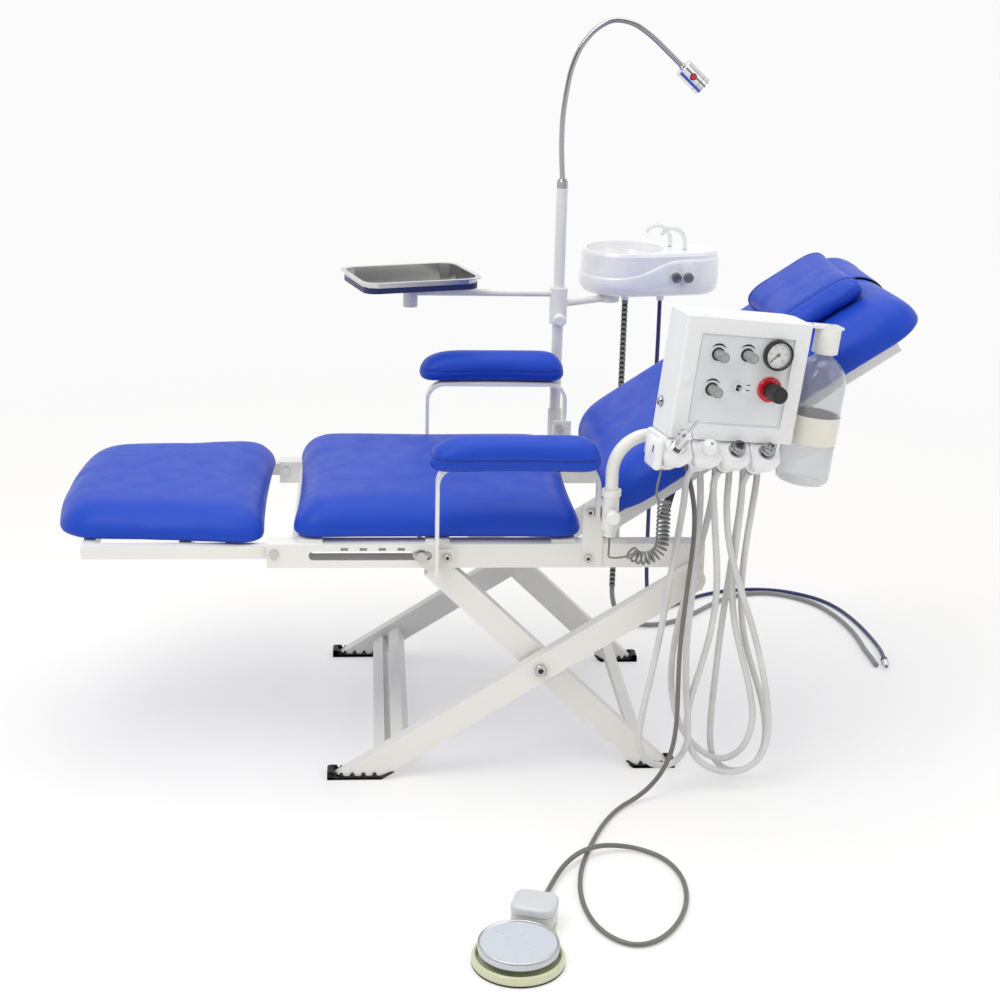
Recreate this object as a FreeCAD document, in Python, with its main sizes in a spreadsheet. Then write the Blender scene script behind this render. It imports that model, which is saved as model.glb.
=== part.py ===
import FreeCAD, Part
import math
import os
import Sketcher

# A portable dental chair that folds flat, with its delivery unit, lamp, tray,
# spittoon, hoses and foot pedal. Millimetres, +Z up, +X towards the head end,
# +Y away from the side that carries the delivery unit.

doc = FreeCAD.newDocument("DentalChair")
sheet = doc.addObject("Spreadsheet::Sheet", "Sizes")
Vector = FreeCAD.Vector
nodes = []
rows = []


class Measure:
    """A length or angle that knows its value and its formula in the sheet."""

    def __init__(self, value, text):
        self.value = value
        self.text = text

    def __float__(self):
        return float(self.value)

    def __add__(self, other):
        other = measure(other)
        return Measure(self.value + other.value, "(" + self.text + " + " + other.text + ")")

    def __radd__(self, other):
        return measure(other) + self

    def __sub__(self, other):
        other = measure(other)
        return Measure(self.value - other.value, "(" + self.text + " - " + other.text + ")")

    def __rsub__(self, other):
        return measure(other) - self

    def __mul__(self, other):
        other = measure(other)
        return Measure(self.value * other.value, "(" + self.text + " * " + other.text + ")")

    def __rmul__(self, other):
        return measure(other) * self

    def __truediv__(self, other):
        other = measure(other)
        return Measure(self.value / other.value, "(" + self.text + " / " + other.text + ")")

    def __neg__(self):
        return Measure(-self.value, "(0 - " + self.text + ")")


def measure(number):
    if isinstance(number, Measure):
        return number
    return Measure(float(number), "(" + repr(float(number)) + ")")


def size(name, value):
    rows.append(name)
    cell = "B" + str(len(rows))
    sheet.set("A" + str(len(rows)), name)
    sheet.set(cell, str(value))
    sheet.setAlias(cell, name)
    return Measure(float(value), "Sizes." + name)


def slope(rise, run):
    rise = measure(rise)
    run = measure(run)
    turn = math.degrees(math.atan2(rise.value, run.value))
    return Measure(turn, "(atan2(" + rise.text + "; " + run.text + ") / 1 deg)")


def sine(angle):
    return Measure(math.sin(math.radians(angle.value)), "sin(" + angle.text + " * 1 deg)")


def cosine(angle):
    return Measure(math.cos(math.radians(angle.value)), "cos(" + angle.text + " * 1 deg)")


def root(number):
    return Measure(math.sqrt(number.value), "sqrt(" + number.text + ")")


def bind(thing, prop, amount):
    thing.setExpression(prop, measure(amount).text)


def place(thing, x, y, z):
    for letter, amount in zip("xyz", (x, y, z)):
        bind(thing, "Placement.Base." + letter, amount)
    return thing


def turn(thing, axis, angle):
    angle = measure(angle)
    rotation = FreeCAD.Rotation(axis, angle.value)
    thing.Placement = FreeCAD.Placement(thing.Placement.Base, rotation)
    bind(thing, "Placement.Rotation.Angle", angle)
    return thing


def box(name, x0, x1, y0, y1, z0, z1):
    thing = doc.addObject("Part::Box", name)
    bind(thing, "Length", measure(x1) - x0)
    bind(thing, "Width", measure(y1) - y0)
    bind(thing, "Height", measure(z1) - z0)
    return place(thing, x0, y0, z0)


ALONG = {
    "x": FreeCAD.Rotation(Vector(0, 1, 0), 90),
    "y": FreeCAD.Rotation(Vector(1, 0, 0), -90),
    "z": FreeCAD.Rotation(),
}


def rod(name, along, x, y, z, radius, length):
    thing = doc.addObject("Part::Cylinder", name)
    thing.Placement = FreeCAD.Placement(Vector(), ALONG[along])
    bind(thing, "Radius", radius)
    bind(thing, "Height", length)
    return place(thing, x, y, z)


def cut(name, base, tool):
    thing = doc.addObject("Part::Cut", name)
    thing.Base = base
    thing.Tool = tool
    return thing


def fuse(name, pieces):
    if len(pieces) == 1:
        return pieces[0]
    thing = doc.addObject("Part::MultiFuse", name)
    thing.Shapes = pieces
    thing.Refine = True
    return thing


def group(name, pieces):
    thing = doc.addObject("Part::Compound", name)
    thing.Links = pieces
    return thing


def far_side(name, piece):
    thing = doc.addObject("Part::Mirroring", name)
    thing.Source = piece
    thing.Normal = Vector(0, 1, 0)
    return thing


def pair(name, piece):
    return [piece, far_side(name + "Far", piece)]


def outline(body, name, role, corners):
    sketch = body.newObject("Sketcher::SketchObject", name)
    plane = [item for item in body.Origin.OriginFeatures if item.Role == role][0]
    sketch.AttachmentSupport = [(plane, "")]
    sketch.MapMode = "FlatFace"
    corners = [(measure(a), measure(b)) for a, b in corners]
    last = len(corners) - 1
    for index, (a, b) in enumerate(corners):
        after = corners[0 if index == last else index + 1]
        start = Vector(a.value, b.value, 0)
        end = Vector(after[0].value, after[1].value, 0)
        sketch.addGeometry(Part.LineSegment(start, end))
    for index in range(last + 1):
        after = 0 if index == last else index + 1
        sketch.addConstraint(Sketcher.Constraint("Coincident", index, 2, after, 1))
    for index, corner in enumerate(corners):
        for kind, amount in zip(("DistanceX", "DistanceY"), corner):
            rule = Sketcher.Constraint(kind, -1, 1, index, 1, amount.value)
            number = sketch.addConstraint(rule)
            bind(sketch, "Constraints[" + str(number) + "]", amount)
    return sketch


def plate(name, corners, height):
    """A flat or tall piece: an outline in plan, drawn up from z = 0."""
    body = doc.addObject("PartDesign::Body", name)
    sketch = outline(body, name + "Outline", "XY_Plane", corners)
    pad = body.newObject("PartDesign::Pad", name + "Pad")
    pad.Profile = sketch
    bind(pad, "Length", height)
    return body


def turned(name, corners):
    """A round piece: (radius, height) corners turned about its own Z axis."""
    body = doc.addObject("PartDesign::Body", name)
    sketch = outline(body, name + "Profile", "XZ_Plane", corners)
    revolution = body.newObject("PartDesign::Revolution", name + "Turn")
    revolution.Profile = sketch
    revolution.ReferenceAxis = (sketch, ["V_Axis"])
    revolution.Angle = 360.0
    return body


def aim(thing, x, y, z, rotation):
    thing.Placement = FreeCAD.Placement(Vector(), rotation)
    return place(thing, x, y, z)


def solid(name, shape):
    thing = doc.addObject("Part::Feature", name)
    thing.Shape = shape
    return thing


def unit_vector(vector):
    return vector * (1.0 / vector.Length)


def tube_path(points, bend_radius=None):
    """Straight runs joined by tangent arcs, as large as the runs allow if no radius is given."""
    edges = []
    radii = []
    start = points[0]
    for before, here, after in zip(points, points[1:], points[2:]):
        into = here - before
        away = after - here
        half = into.getAngle(away) / 2
        reach = 0.45 * min(into.Length, away.Length)
        if bend_radius:
            reach = bend_radius * math.tan(half)
        bend = reach / math.tan(half)
        enter = here - unit_vector(into) * reach
        leave = here + unit_vector(away) * reach
        inward = unit_vector(unit_vector(away) - unit_vector(into))
        middle = here + inward * (bend / math.cos(half) - bend)
        edges.append(Part.LineSegment(start, enter).toShape())
        edges.append(Part.Arc(enter, middle, leave).toShape())
        radii.append(bend)
        start = leave
    edges.append(Part.LineSegment(start, points[-1]).toShape())
    return Part.Wire(edges), radii


origin_x = size("origin_x", -93.65)
origin_y = size("origin_y", -190.25)


def node(label, pieces):
    """A named sub-part in the frame of the whole chair."""
    thing = group("Node_" + label, pieces)
    thing.Label = label
    place(thing, -origin_x, -origin_y, 0)
    nodes.append(thing)
    return thing


# Fits shared by every moving pair.
fit = size("running_fit", 0.05)
sheet_steel = size("strap_thickness", 4.0)

# Side rails: folded channels, open below, one on each side of the seat.
rail_front = size("rail_front", -452.0)
rail_back = size("rail_back", 278.0)
rail_bottom = size("rail_bottom", 374.0)
rail_top = size("rail_top", 415.0)
rail_outer = size("rail_outer", 252.0)
rail_width = size("rail_width", 36.0)
rail_wall = size("rail_wall", 3.0)
slot_drop = size("slot_drop", 20.0)
slot_height = rail_top - slot_drop
slot_width = size("slot_width", 16.0)
slot_front = size("slot_front", -375.0)
slot_back = size("slot_back", -187.0)
notch_first = size("notch_first", -324.0)
notch_pitch = size("notch_pitch", 31.3)
notch_width = size("notch_width", 12.0)
notch_rise = size("notch_rise", 6.0)
lug_length = size("lug_length", 50.0)
lug_drop = size("lug_drop", 42.0)
lug_thickness = size("lug_thickness", 5.0)
bar_side = size("crossbar_side", 25.0)
bar_front_x = size("crossbar_front", -400.0)
bar_back_x = size("crossbar_back", 30.0)
bar_bottom = size("crossbar_bottom", 380.0)
slat_width = size("slat_width", 40.0)
slat_thickness = size("slat_thickness", 5.0)
slat_reach = size("slat_reach", 244.0)
slat_first = size("slat_first", -400.0)
slat_pitch = size("slat_pitch", 210.0)

rail_inner = rail_outer - rail_width
web_y = rail_outer - rail_wall
seat_plane = rail_top + slat_thickness

# Leg geometry: the outer pair hinges at the head end, the inner pair slides in the slots.
hinge_x = size("leg_hinge_x", 255.0)
hinge_z = size("leg_hinge_z", 360.0)
outer_foot_x = size("outer_foot_x", -308.0)
inner_foot_x = size("inner_foot_x", 213.0)
pin_x = size("slot_pin_x", -197.0)
leg_height = size("leg_height", 44.0)
leg_width = size("leg_width", 25.0)
leg_wall = size("leg_wall", 2.0)
leg_gap = size("leg_gap", 2.0)
bolt_radius = size("leg_bolt_radius", 6.0)
bolt_head = size("leg_bolt_head", 10.0)
bolt_cap = size("leg_bolt_cap", 7.0)

outer_in = rail_outer + leg_gap
outer_out = outer_in + leg_width
inner_mid = rail_outer - rail_width / 2
inner_in = inner_mid - leg_width / 2
inner_out = inner_mid + leg_width / 2
outer_angle = slope(hinge_z, hinge_x - outer_foot_x)
inner_angle = slope(slot_height, inner_foot_x - pin_x)
outer_grade = hinge_z / (hinge_x - outer_foot_x)
inner_grade = slot_height / (inner_foot_x - pin_x)
pivot_x = (outer_foot_x * outer_grade + inner_foot_x * inner_grade) / (outer_grade + inner_grade)
pivot_z = (pivot_x - outer_foot_x) * outer_grade
outer_length = root(hinge_z * hinge_z + (hinge_x - outer_foot_x) * (hinge_x - outer_foot_x))
inner_length = root(slot_height * slot_height + (inner_foot_x - pin_x) * (inner_foot_x - pin_x))
outer_pivot = (hinge_x - pivot_x) / cosine(outer_angle)
inner_pivot = (pivot_x - pin_x) / cosine(inner_angle)

# Hinge pins that the rails carry for the leg rest and the back.
rest_pin_x = size("legrest_pin_x", -440.0)
rest_pin_z = size("legrest_pin_z", 398.0)
pin_radius = size("hinge_pin_radius", 5.0)
back_pin_x = size("back_pin_x", 108.0)
back_pin_z = size("back_pin_z", 424.0)
gusset_thickness = size("gusset_thickness", 5.0)
gusset_front = size("gusset_front", 85.0)
gusset_back = size("gusset_back", 138.0)
gusset_top = size("gusset_top", 442.0)

# Bolts that hold the arm-rest straps and the bracket plates to the rails.
arm_strap_x = size("arm_bolt_x", -154.0)
bolt_x = size("bracket_bolt_x", 81.0)
bolt_low_z = size("bracket_bolt_low", 392.0)
bolt_high_z = size("bracket_bolt_high", 474.0)
small_bolt = size("small_bolt_radius", 4.0)
small_head = size("small_bolt_head", 7.0)
small_cap = size("small_bolt_cap", 5.0)
strap_in = rail_outer
strap_mid = rail_outer + sheet_steel
strap_edge = strap_mid + sheet_steel


def bolt_bores(name):
    reach = sheet_steel * 2 + rail_wall + 3
    start = -(strap_edge + 1)
    return fuse(
        name,
        [
            rod(name + "Low", "y", bolt_x, start, bolt_low_z, small_bolt + fit, reach),
            rod(name + "High", "y", bolt_x, start, bolt_high_z, small_bolt + fit, reach),
            rod(name + "Front", "y", arm_strap_x, start, slot_height, small_bolt + fit, reach),
        ],
    )


def side_rail():
    skin = box("RailSkin", rail_front, rail_back, -rail_outer, -rail_inner, rail_bottom, rail_top)
    hollow = box(
        "RailHollow",
        rail_front - 1,
        rail_back + 1,
        -web_y,
        -(rail_inner + rail_wall),
        rail_bottom - 1,
        rail_top - rail_wall,
    )
    channel = cut("RailChannel", skin, hollow)
    lug = box(
        "RailLug",
        rail_back - lug_length,
        rail_back,
        -rail_outer,
        -(rail_outer - lug_thickness),
        rail_bottom - lug_drop,
        rail_bottom,
    )
    whole = fuse("RailWithLug", [channel, lug])
    across = rail_width + 2
    start = -(rail_outer + 1)
    half = slot_width / 2
    openings = [
        box(
            "SlotRun",
            slot_front,
            slot_back,
            start,
            start + across,
            slot_height - half,
            slot_height + half,
        ),
        rod("SlotFront", "y", slot_front, start, slot_height, half, across),
        rod("SlotBack", "y", slot_back, start, slot_height, half, across),
    ]
    for index in range(4):
        middle = notch_first + notch_pitch * index
        openings.append(
            box(
                "Notch" + str(index),
                middle - notch_width / 2,
                middle + notch_width / 2,
                start,
                start + across,
                slot_height,
                slot_height + half + notch_rise,
            )
        )
    openings.append(rod("LugBore", "y", hinge_x, start, hinge_z, bolt_radius + fit, across))
    openings.append(rod("RestBore", "y", rest_pin_x, start, rest_pin_z, pin_radius + fit, across))
    openings.append(bolt_bores("RailBoltBores"))
    return cut("SideRail", whole, fuse("RailOpenings", openings))


rail_pieces = pair("SideRail", side_rail())
for index, middle in enumerate((bar_front_x, bar_back_x)):
    rail_pieces.append(
        box(
            "Crossbar" + str(index),
            middle - bar_side / 2,
            middle + bar_side / 2,
            -rail_inner,
            rail_inner,
            bar_bottom,
            bar_bottom + bar_side,
        )
    )
for index in range(3):
    start = slat_first + slat_pitch * index
    rail_pieces.append(
        box(
            "Slat" + str(index),
            start,
            start + slat_width,
            -slat_reach,
            slat_reach,
            rail_top,
            seat_plane,
        )
    )
gusset = cut(
    "GussetPlate",
    box(
        "GussetBlank",
        gusset_front,
        gusset_back,
        -rail_inner,
        -(rail_inner - gusset_thickness),
        bar_bottom,
        gusset_top,
    ),
    rod("GussetBore", "y", back_pin_x, -(rail_inner + 1), back_pin_z, pin_radius + fit, rail_width),
)
node("side_rails", rail_pieces + pair("GussetPlate", gusset))

# Hinge bolts of the outer legs and the pins of the leg rest, all held by the rails.
hinge_bolt = fuse(
    "HingeBolt",
    [
        rod(
            "HingeShank",
            "y",
            hinge_x,
            -(outer_out + 1),
            hinge_z,
            bolt_radius,
            outer_out + 1 - (rail_outer - lug_thickness - bolt_cap),
        ),
        rod("HingeHead", "y", hinge_x, -(outer_out + bolt_cap + 0.3), hinge_z, bolt_head, bolt_cap),
        rod("HingeNut", "y", hinge_x, -(rail_outer - lug_thickness), hinge_z, bolt_head, bolt_cap),
    ],
)
washer = cut(
    "HingeWasher",
    rod("WasherDisc", "y", hinge_x, -outer_in + 0.3, hinge_z, bolt_head + 3, leg_gap - 0.3),
    rod("WasherBore", "y", hinge_x, -(outer_in + 1), hinge_z, bolt_radius + fit, leg_gap + 2),
)

rest_pin = fuse(
    "RestPin",
    [
        rod(
            "RestPinShank",
            "y",
            rest_pin_x,
            -(rail_outer + 1),
            rest_pin_z,
            pin_radius,
            rail_width + 2,
        ),
        rod("RestPinHead", "y", rest_pin_x, -(rail_outer + 3), rest_pin_z, pin_radius + 3, 3),
        rod("RestPinClip", "y", rest_pin_x, -rail_inner, rest_pin_z, pin_radius + 3, 3),
    ],
)


def tilted(thing, x, z, angle):
    """Pieces drawn along +X from a hinge, turned about the hinge and set at (x, z)."""
    holder = group(thing.Name + "Tilted", [thing])
    turn(holder, Vector(0, 1, 0), angle)
    return place(holder, x, 0, z)


def outer_leg_place(thing):
    return tilted(thing, hinge_x, hinge_z, 180 - outer_angle)


def inner_leg_place(thing):
    return tilted(thing, pin_x, slot_height, inner_angle)


foot_sole = size("foot_sole", 5.0)
foot_wall = size("foot_wall", 3.0)
foot_height = size("foot_height", 14.0)
leg_overrun = size("leg_overrun", 60.0)
leg_half = leg_height / 2


def ground(name, level):
    return box(name, -900, 900, -600, 600, -400, level)


def rubber_foot(name, leg_outside, reach, y0, y1, put):
    jacket = box(
        name + "Jacket",
        reach - 120,
        reach + leg_overrun,
        y0 - foot_wall,
        y1 + foot_wall,
        -(leg_half + foot_wall),
        leg_half + foot_wall,
    )
    low = cut(name + "Low", put(jacket), ground(name + "Floor", 0))
    high = box(name + "Above", -900, 900, -600, 600, foot_height, 900)
    cup = cut(name + "Cup", low, high)
    core = cut(name + "Core", leg_outside, ground(name + "Sole", foot_sole))
    return cut(name, cup, core)


# Outer legs: two square-ended tubes joined by two bars near the feet.
outer_bar = size("outer_bar_side", 22.0)
outer_bar_first = size("outer_bar_first", 575.0)
outer_bar_pitch = size("outer_bar_pitch", 36.0)


def outer_leg_outside(name):
    blank = box(
        name + "Blank", 0, outer_length + leg_overrun, -outer_out, -outer_in, -leg_half, leg_half
    )
    cap = rod(name + "Cap", "y", 0, -outer_out, 0, leg_half, leg_width)
    return outer_leg_place(fuse(name, [blank, cap]))


outer_hollow = outer_leg_place(
    box(
        "OuterHollow",
        leg_half,
        outer_length + leg_overrun + 1,
        -(outer_out - leg_wall),
        -(outer_in + leg_wall),
        -(leg_half - leg_wall),
        leg_half - leg_wall,
    )
)
outer_bores = outer_leg_place(
    fuse(
        "OuterBores",
        [
            rod("OuterHingeBore", "y", 0, -(outer_out + 1), 0, bolt_radius + fit, leg_width + 2),
            rod(
                "OuterPivotBore",
                "y",
                outer_pivot,
                -(outer_out + 1),
                0,
                bolt_radius + fit,
                leg_width + 2,
            ),
        ],
    )
)
outer_inside = fuse("OuterInside", [outer_hollow, outer_bores])
outer_tube = cut("OuterTube", outer_leg_outside("OuterShape"), outer_inside)
outer_leg = cut("OuterLeg", outer_tube, ground("OuterCut", foot_sole))
outer_pieces = pair("OuterLeg", outer_leg)
for index in range(2):
    middle = outer_bar_first + outer_bar_pitch * index
    bar = box(
        "OuterBar" + str(index),
        middle - outer_bar / 2,
        middle + outer_bar / 2,
        -outer_in,
        outer_in,
        -outer_bar / 2,
        outer_bar / 2,
    )
    outer_pieces.append(outer_leg_place(bar))
node("outer_legs", outer_pieces)
outer_foot = rubber_foot(
    "OuterFoot", outer_leg_outside("OuterFootShape"), outer_length, -outer_out, -outer_in, outer_leg_place
)
node("outer_feet", pair("OuterFoot", outer_foot))

pivot_bolt = fuse(
    "PivotBolt",
    [
        rod(
            "PivotShank",
            "y",
            pivot_x,
            -(outer_out + 1),
            pivot_z,
            bolt_radius,
            outer_out - inner_in + 1 + leg_gap,
        ),
        rod("PivotHead", "y", pivot_x, -(outer_out + bolt_cap), pivot_z, bolt_head, bolt_cap),
        rod(
            "PivotSpacer",
            "y",
            pivot_x,
            -outer_in,
            pivot_z,
            bolt_head + 1,
            outer_in - inner_out - 0.3,
        ),
        rod("PivotNut", "y", pivot_x, -(inner_in - 0.3), pivot_z, bolt_head, leg_gap + 2),
    ],
)
node("pivot_bolts", pair("PivotBolt", pivot_bolt))

# Inner legs: tubes inside the rails' channels, with a narrow tongue round the slot rod.
tongue_radius = size("tongue_radius", 14.0)
tongue_reach = size("tongue_reach", 30.0)
inner_bar_at = size("inner_bar_at", 500.0)
inner_bar_width = size("inner_bar_width", 40.0)
inner_bar_thickness = size("inner_bar_thickness", 6.0)
rod_radius = size("slot_rod_radius", 5.0)
rod_washer = size("slot_rod_washer", 11.0)
rod_washer_thickness = size("slot_washer_thickness", 2.0)
rod_nut = size("slot_rod_nut", 8.0)


def inner_leg_outside(name):
    blank = box(
        name + "Blank",
        tongue_reach,
        inner_length + leg_overrun,
        -inner_out,
        -inner_in,
        -leg_half,
        leg_half,
    )
    tongue = box(
        name + "Tongue", 0, tongue_reach + 4, -inner_out, -inner_in, -tongue_radius, tongue_radius
    )
    eye = rod(name + "Eye", "y", 0, -inner_out, 0, tongue_radius, leg_width)
    return inner_leg_place(fuse(name, [blank, tongue, eye]))


inner_hollow = inner_leg_place(
    box(
        "InnerHollow",
        tongue_reach + leg_wall + 2,
        inner_length + leg_overrun + 1,
        -(inner_out - leg_wall),
        -(inner_in + leg_wall),
        -(leg_half - leg_wall),
        leg_half - leg_wall,
    )
)
inner_bores = inner_leg_place(
    fuse(
        "InnerBores",
        [
            rod("InnerRodBore", "y", 0, -(inner_out + 1), 0, rod_radius + fit, leg_width + 2),
            rod(
                "InnerPivotBore",
                "y",
                inner_pivot,
                -(inner_out + 1),
                0,
                bolt_radius + fit,
                leg_width + 2,
            ),
        ],
    )
)
inner_inside = fuse("InnerInside", [inner_hollow, inner_bores])
inner_tube = cut("InnerTube", inner_leg_outside("InnerShape"), inner_inside)
inner_leg = cut("InnerLeg", inner_tube, ground("InnerCut", foot_sole))
inner_bar = inner_leg_place(
    box(
        "InnerBar",
        inner_bar_at - inner_bar_width / 2,
        inner_bar_at + inner_bar_width / 2,
        -inner_in,
        inner_in,
        leg_half - inner_bar_thickness,
        leg_half,
    )
)
node("inner_legs", pair("InnerLeg", inner_leg) + [inner_bar])
inner_foot = rubber_foot(
    "InnerFoot", inner_leg_outside("InnerFootShape"), inner_length, -inner_out, -inner_in, inner_leg_place
)
node("inner_feet", pair("InnerFoot", inner_foot))

rod_side = rail_outer + 0.3
rod_end = rod_side + rod_washer_thickness + rod_nut
washer_end = rod_side + rod_washer_thickness
slot_nut = rod_radius + 4
slot_rod = fuse(
    "SlotRodShape",
    [
        rod("SlotRodShank", "y", pin_x, -rod_end, slot_height, rod_radius, rod_end * 2),
        rod("SlotWasherNear", "y", pin_x, -washer_end, slot_height, rod_washer, rod_washer_thickness),
        rod("SlotWasherFar", "y", pin_x, rod_side, slot_height, rod_washer, rod_washer_thickness),
        rod("SlotNutNear", "y", pin_x, -rod_end, slot_height, slot_nut, rod_nut - 1),
        rod("SlotNutFar", "y", pin_x, washer_end, slot_height, slot_nut, rod_nut - 1),
    ],
)
node("slot_rod", [slot_rod])

# Upholstery: rolled edges, sides drawn in between the corners, a low crown on top.
edge_roll = size("cushion_edge_roll", 14.0)
side_draw = size("cushion_side_draw", 4.0)
crown = size("cushion_crown", 5.0)


def rim_wire(x0, x1, half0, half1, corner0, corner1, draw0, draw1, inset, level):
    """A closed outline with four round corners and four sides that bow inwards."""
    left = x0 + inset
    right = x1 - inset
    low0 = half0 - inset
    low1 = half1 - inset
    round0 = max(corner0 - inset, corner0 * 0.4)
    round1 = max(corner1 - inset, corner1 * 0.4)
    side = side_draw.value
    diagonal = math.sqrt(0.5)

    def at(x, y):
        return Vector(x, y, level)

    def corner(x, y, radius, along, across):
        return at(x + along * radius * diagonal, y + across * radius * diagonal)

    near_left = at(left + round0, -low0)
    near_right = at(right - round1, -low1)
    right_near = at(right, round1 - low1)
    right_far = at(right, low1 - round1)
    far_right = at(right - round1, low1)
    far_left = at(left + round0, low0)
    left_far = at(left, low0 - round0)
    left_near = at(left, round0 - low0)
    middle = (left + right) / 2
    half = (low0 + low1) / 2
    edges = [
        Part.Arc(near_left, at(middle, side - half), near_right),
        Part.Arc(near_right, corner(right - round1, round1 - low1, round1, 1, -1), right_near),
        Part.Arc(right_near, at(right - draw1, 0), right_far),
        Part.Arc(right_far, corner(right - round1, low1 - round1, round1, 1, 1), far_right),
        Part.Arc(far_right, at(middle, half - side), far_left),
        Part.Arc(far_left, corner(left + round0, low0 - round0, round0, -1, 1), left_far),
        Part.Arc(left_far, at(left + draw0, 0), left_near),
        Part.Arc(left_near, corner(left + round0, round0 - low0, round0, -1, -1), near_left),
    ]
    return Part.Wire([edge.toShape() for edge in edges])


def stuffed(name, ends, halves, corners, draws, levels):
    wires = []
    for level, inset in levels:
        wires.append(
            rim_wire(
                float(ends[0]),
                float(ends[1]),
                float(halves[0]),
                float(halves[1]),
                float(corners[0]),
                float(corners[1]),
                float(draws[0]),
                float(draws[1]),
                float(inset),
                float(level),
            )
        )
    return solid(name, Part.makeLoft(wires, True, True))


def cushion_levels(thickness):
    return [
        (0, edge_roll * 0.5),
        (edge_roll * 0.5, 0),
        (thickness - edge_roll, 0),
        (thickness - edge_roll * 0.3, edge_roll * 0.3),
        (thickness, edge_roll),
        (thickness + crown * 0.7, edge_roll * 3),
        (thickness + crown, edge_roll * 5.5),
    ]


seat_front = size("seat_front", -409.0)
seat_back = size("seat_back", 72.0)
seat_half = size("seat_half_width", 244.0)
seat_thickness = size("seat_thickness", 55.0)
seat_corner = size("seat_corner", 40.0)
seat_pad = stuffed(
    "SeatPad",
    (seat_front, seat_back),
    (seat_half, seat_half),
    (seat_corner, seat_corner),
    (side_draw, side_draw),
    cushion_levels(seat_thickness),
)
node("seat_cushion", [place(group("SeatPadSet", [seat_pad]), 0, 0, seat_plane)])

# Leg rest: a light tube frame that hinges inside the rails' front ends.
rest_tube_height = size("rest_tube_height", 22.0)
rest_tube_width = size("rest_tube_width", 20.0)
rest_reach = size("legrest_tube_reach", 315.0)
rest_front = size("legrest_front", 362.0)
rest_back = size("legrest_back", 18.0)
rest_half_front = size("legrest_half_front", 218.0)
rest_half_back = size("legrest_half_back", 240.0)
rest_corner = size("legrest_corner", 75.0)
rest_thickness = size("legrest_thickness", 52.0)
rest_bow = size("legrest_end_bow", 12.0)
rest_half_tube = rest_tube_height / 2

rest_tube = cut(
    "RestTube",
    fuse(
        "RestTubeBlank",
        [
            box(
                "RestTubeRun",
                rest_pin_x - rest_reach,
                rest_pin_x,
                -(inner_mid + rest_tube_width / 2),
                -(inner_mid - rest_tube_width / 2),
                rest_pin_z - rest_half_tube,
                rest_pin_z + rest_half_tube,
            ),
            rod(
                "RestTubeCap",
                "y",
                rest_pin_x,
                -(inner_mid + rest_tube_width / 2),
                rest_pin_z,
                rest_half_tube,
                rest_tube_width,
            ),
        ],
    ),
    rod("RestTubeBore", "y", rest_pin_x, -rail_outer, rest_pin_z, pin_radius + fit, rail_width),
)
rest_pieces = pair("RestTube", rest_tube)
for index, back in enumerate((rest_reach, rest_reach * 0.5, rest_back + 62)):
    rest_pieces.append(
        box(
            "RestCross" + str(index),
            rest_pin_x - back,
            rest_pin_x - back + rest_tube_width,
            -(inner_mid - rest_tube_width / 2),
            inner_mid - rest_tube_width / 2,
            rest_pin_z - rest_half_tube,
            rest_pin_z + rest_half_tube,
        )
    )
node("legrest_frame", rest_pieces)
rest_pad = stuffed(
    "RestPad",
    (rest_pin_x - rest_front, rest_pin_x - rest_back),
    (rest_half_front, rest_half_back),
    (rest_corner, seat_corner),
    (-rest_bow, side_draw),
    cushion_levels(rest_thickness),
)
node("legrest_cushion", [place(group("RestPadSet", [rest_pad]), 0, 0, rest_pin_z + rest_half_tube)])

# Back rest: drawn along +X from its hinge pin and leant back.
back_angle = size("back_angle", 34.0)
back_tube_y = size("back_tube_y", 200.0)
back_tube_reach = size("back_tube_reach", 580.0)
back_start = size("back_cushion_start", 26.7)
back_end = size("back_cushion_end", 634.0)
back_half = size("back_half_width", 245.0)
back_thickness = size("back_thickness", 65.0)
back_low_corner = size("back_low_corner", 80.0)
back_high_corner = size("back_high_corner", 65.0)
prop_from = size("prop_from", 150.0)
prop_length = size("prop_length", 74.0)
prop_width = size("prop_width", 14.0)
prop_angle = size("prop_angle", 138.0)
pillow_start = size("pillow_start", 427.0)
pillow_end = size("pillow_end", 587.0)
pillow_half = size("pillow_half_width", 150.0)
pillow_thickness = size("pillow_thickness", 38.0)
pillow_corner = size("pillow_corner", 26.0)
strap_width = size("head_strap_width", 140.0)
strap_far = size("head_strap_far", 130.0)
strap_web = size("head_strap_web", 2.5)


def back_place(thing):
    return tilted(thing, back_pin_x, back_pin_z, -back_angle)


back_out = back_tube_y + rest_tube_width / 2
back_in = back_tube_y - rest_tube_width / 2
back_tube = cut(
    "BackTube",
    fuse(
        "BackTubeBlank",
        [
            box("BackTubeRun", 0, back_tube_reach, -back_out, -back_in, -rest_half_tube, rest_half_tube),
            rod("BackTubeCap", "y", 0, -back_out, 0, rest_half_tube, rest_tube_width),
        ],
    ),
    rod("BackTubeBore", "y", 0, -(back_out + 1), 0, pin_radius + fit, rest_tube_width + 2),
)
back_pieces = pair("BackTube", back_place(back_tube))
for index, start in enumerate((prop_from - 50, back_tube_reach * 0.55, back_tube_reach - rest_tube_width)):
    cross = box(
        "BackCross" + str(index),
        start,
        start + rest_tube_width,
        -back_in,
        back_in,
        -rest_half_tube,
        rest_half_tube,
    )
    back_pieces.append(back_place(cross))
node("backrest_frame", back_pieces)

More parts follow.
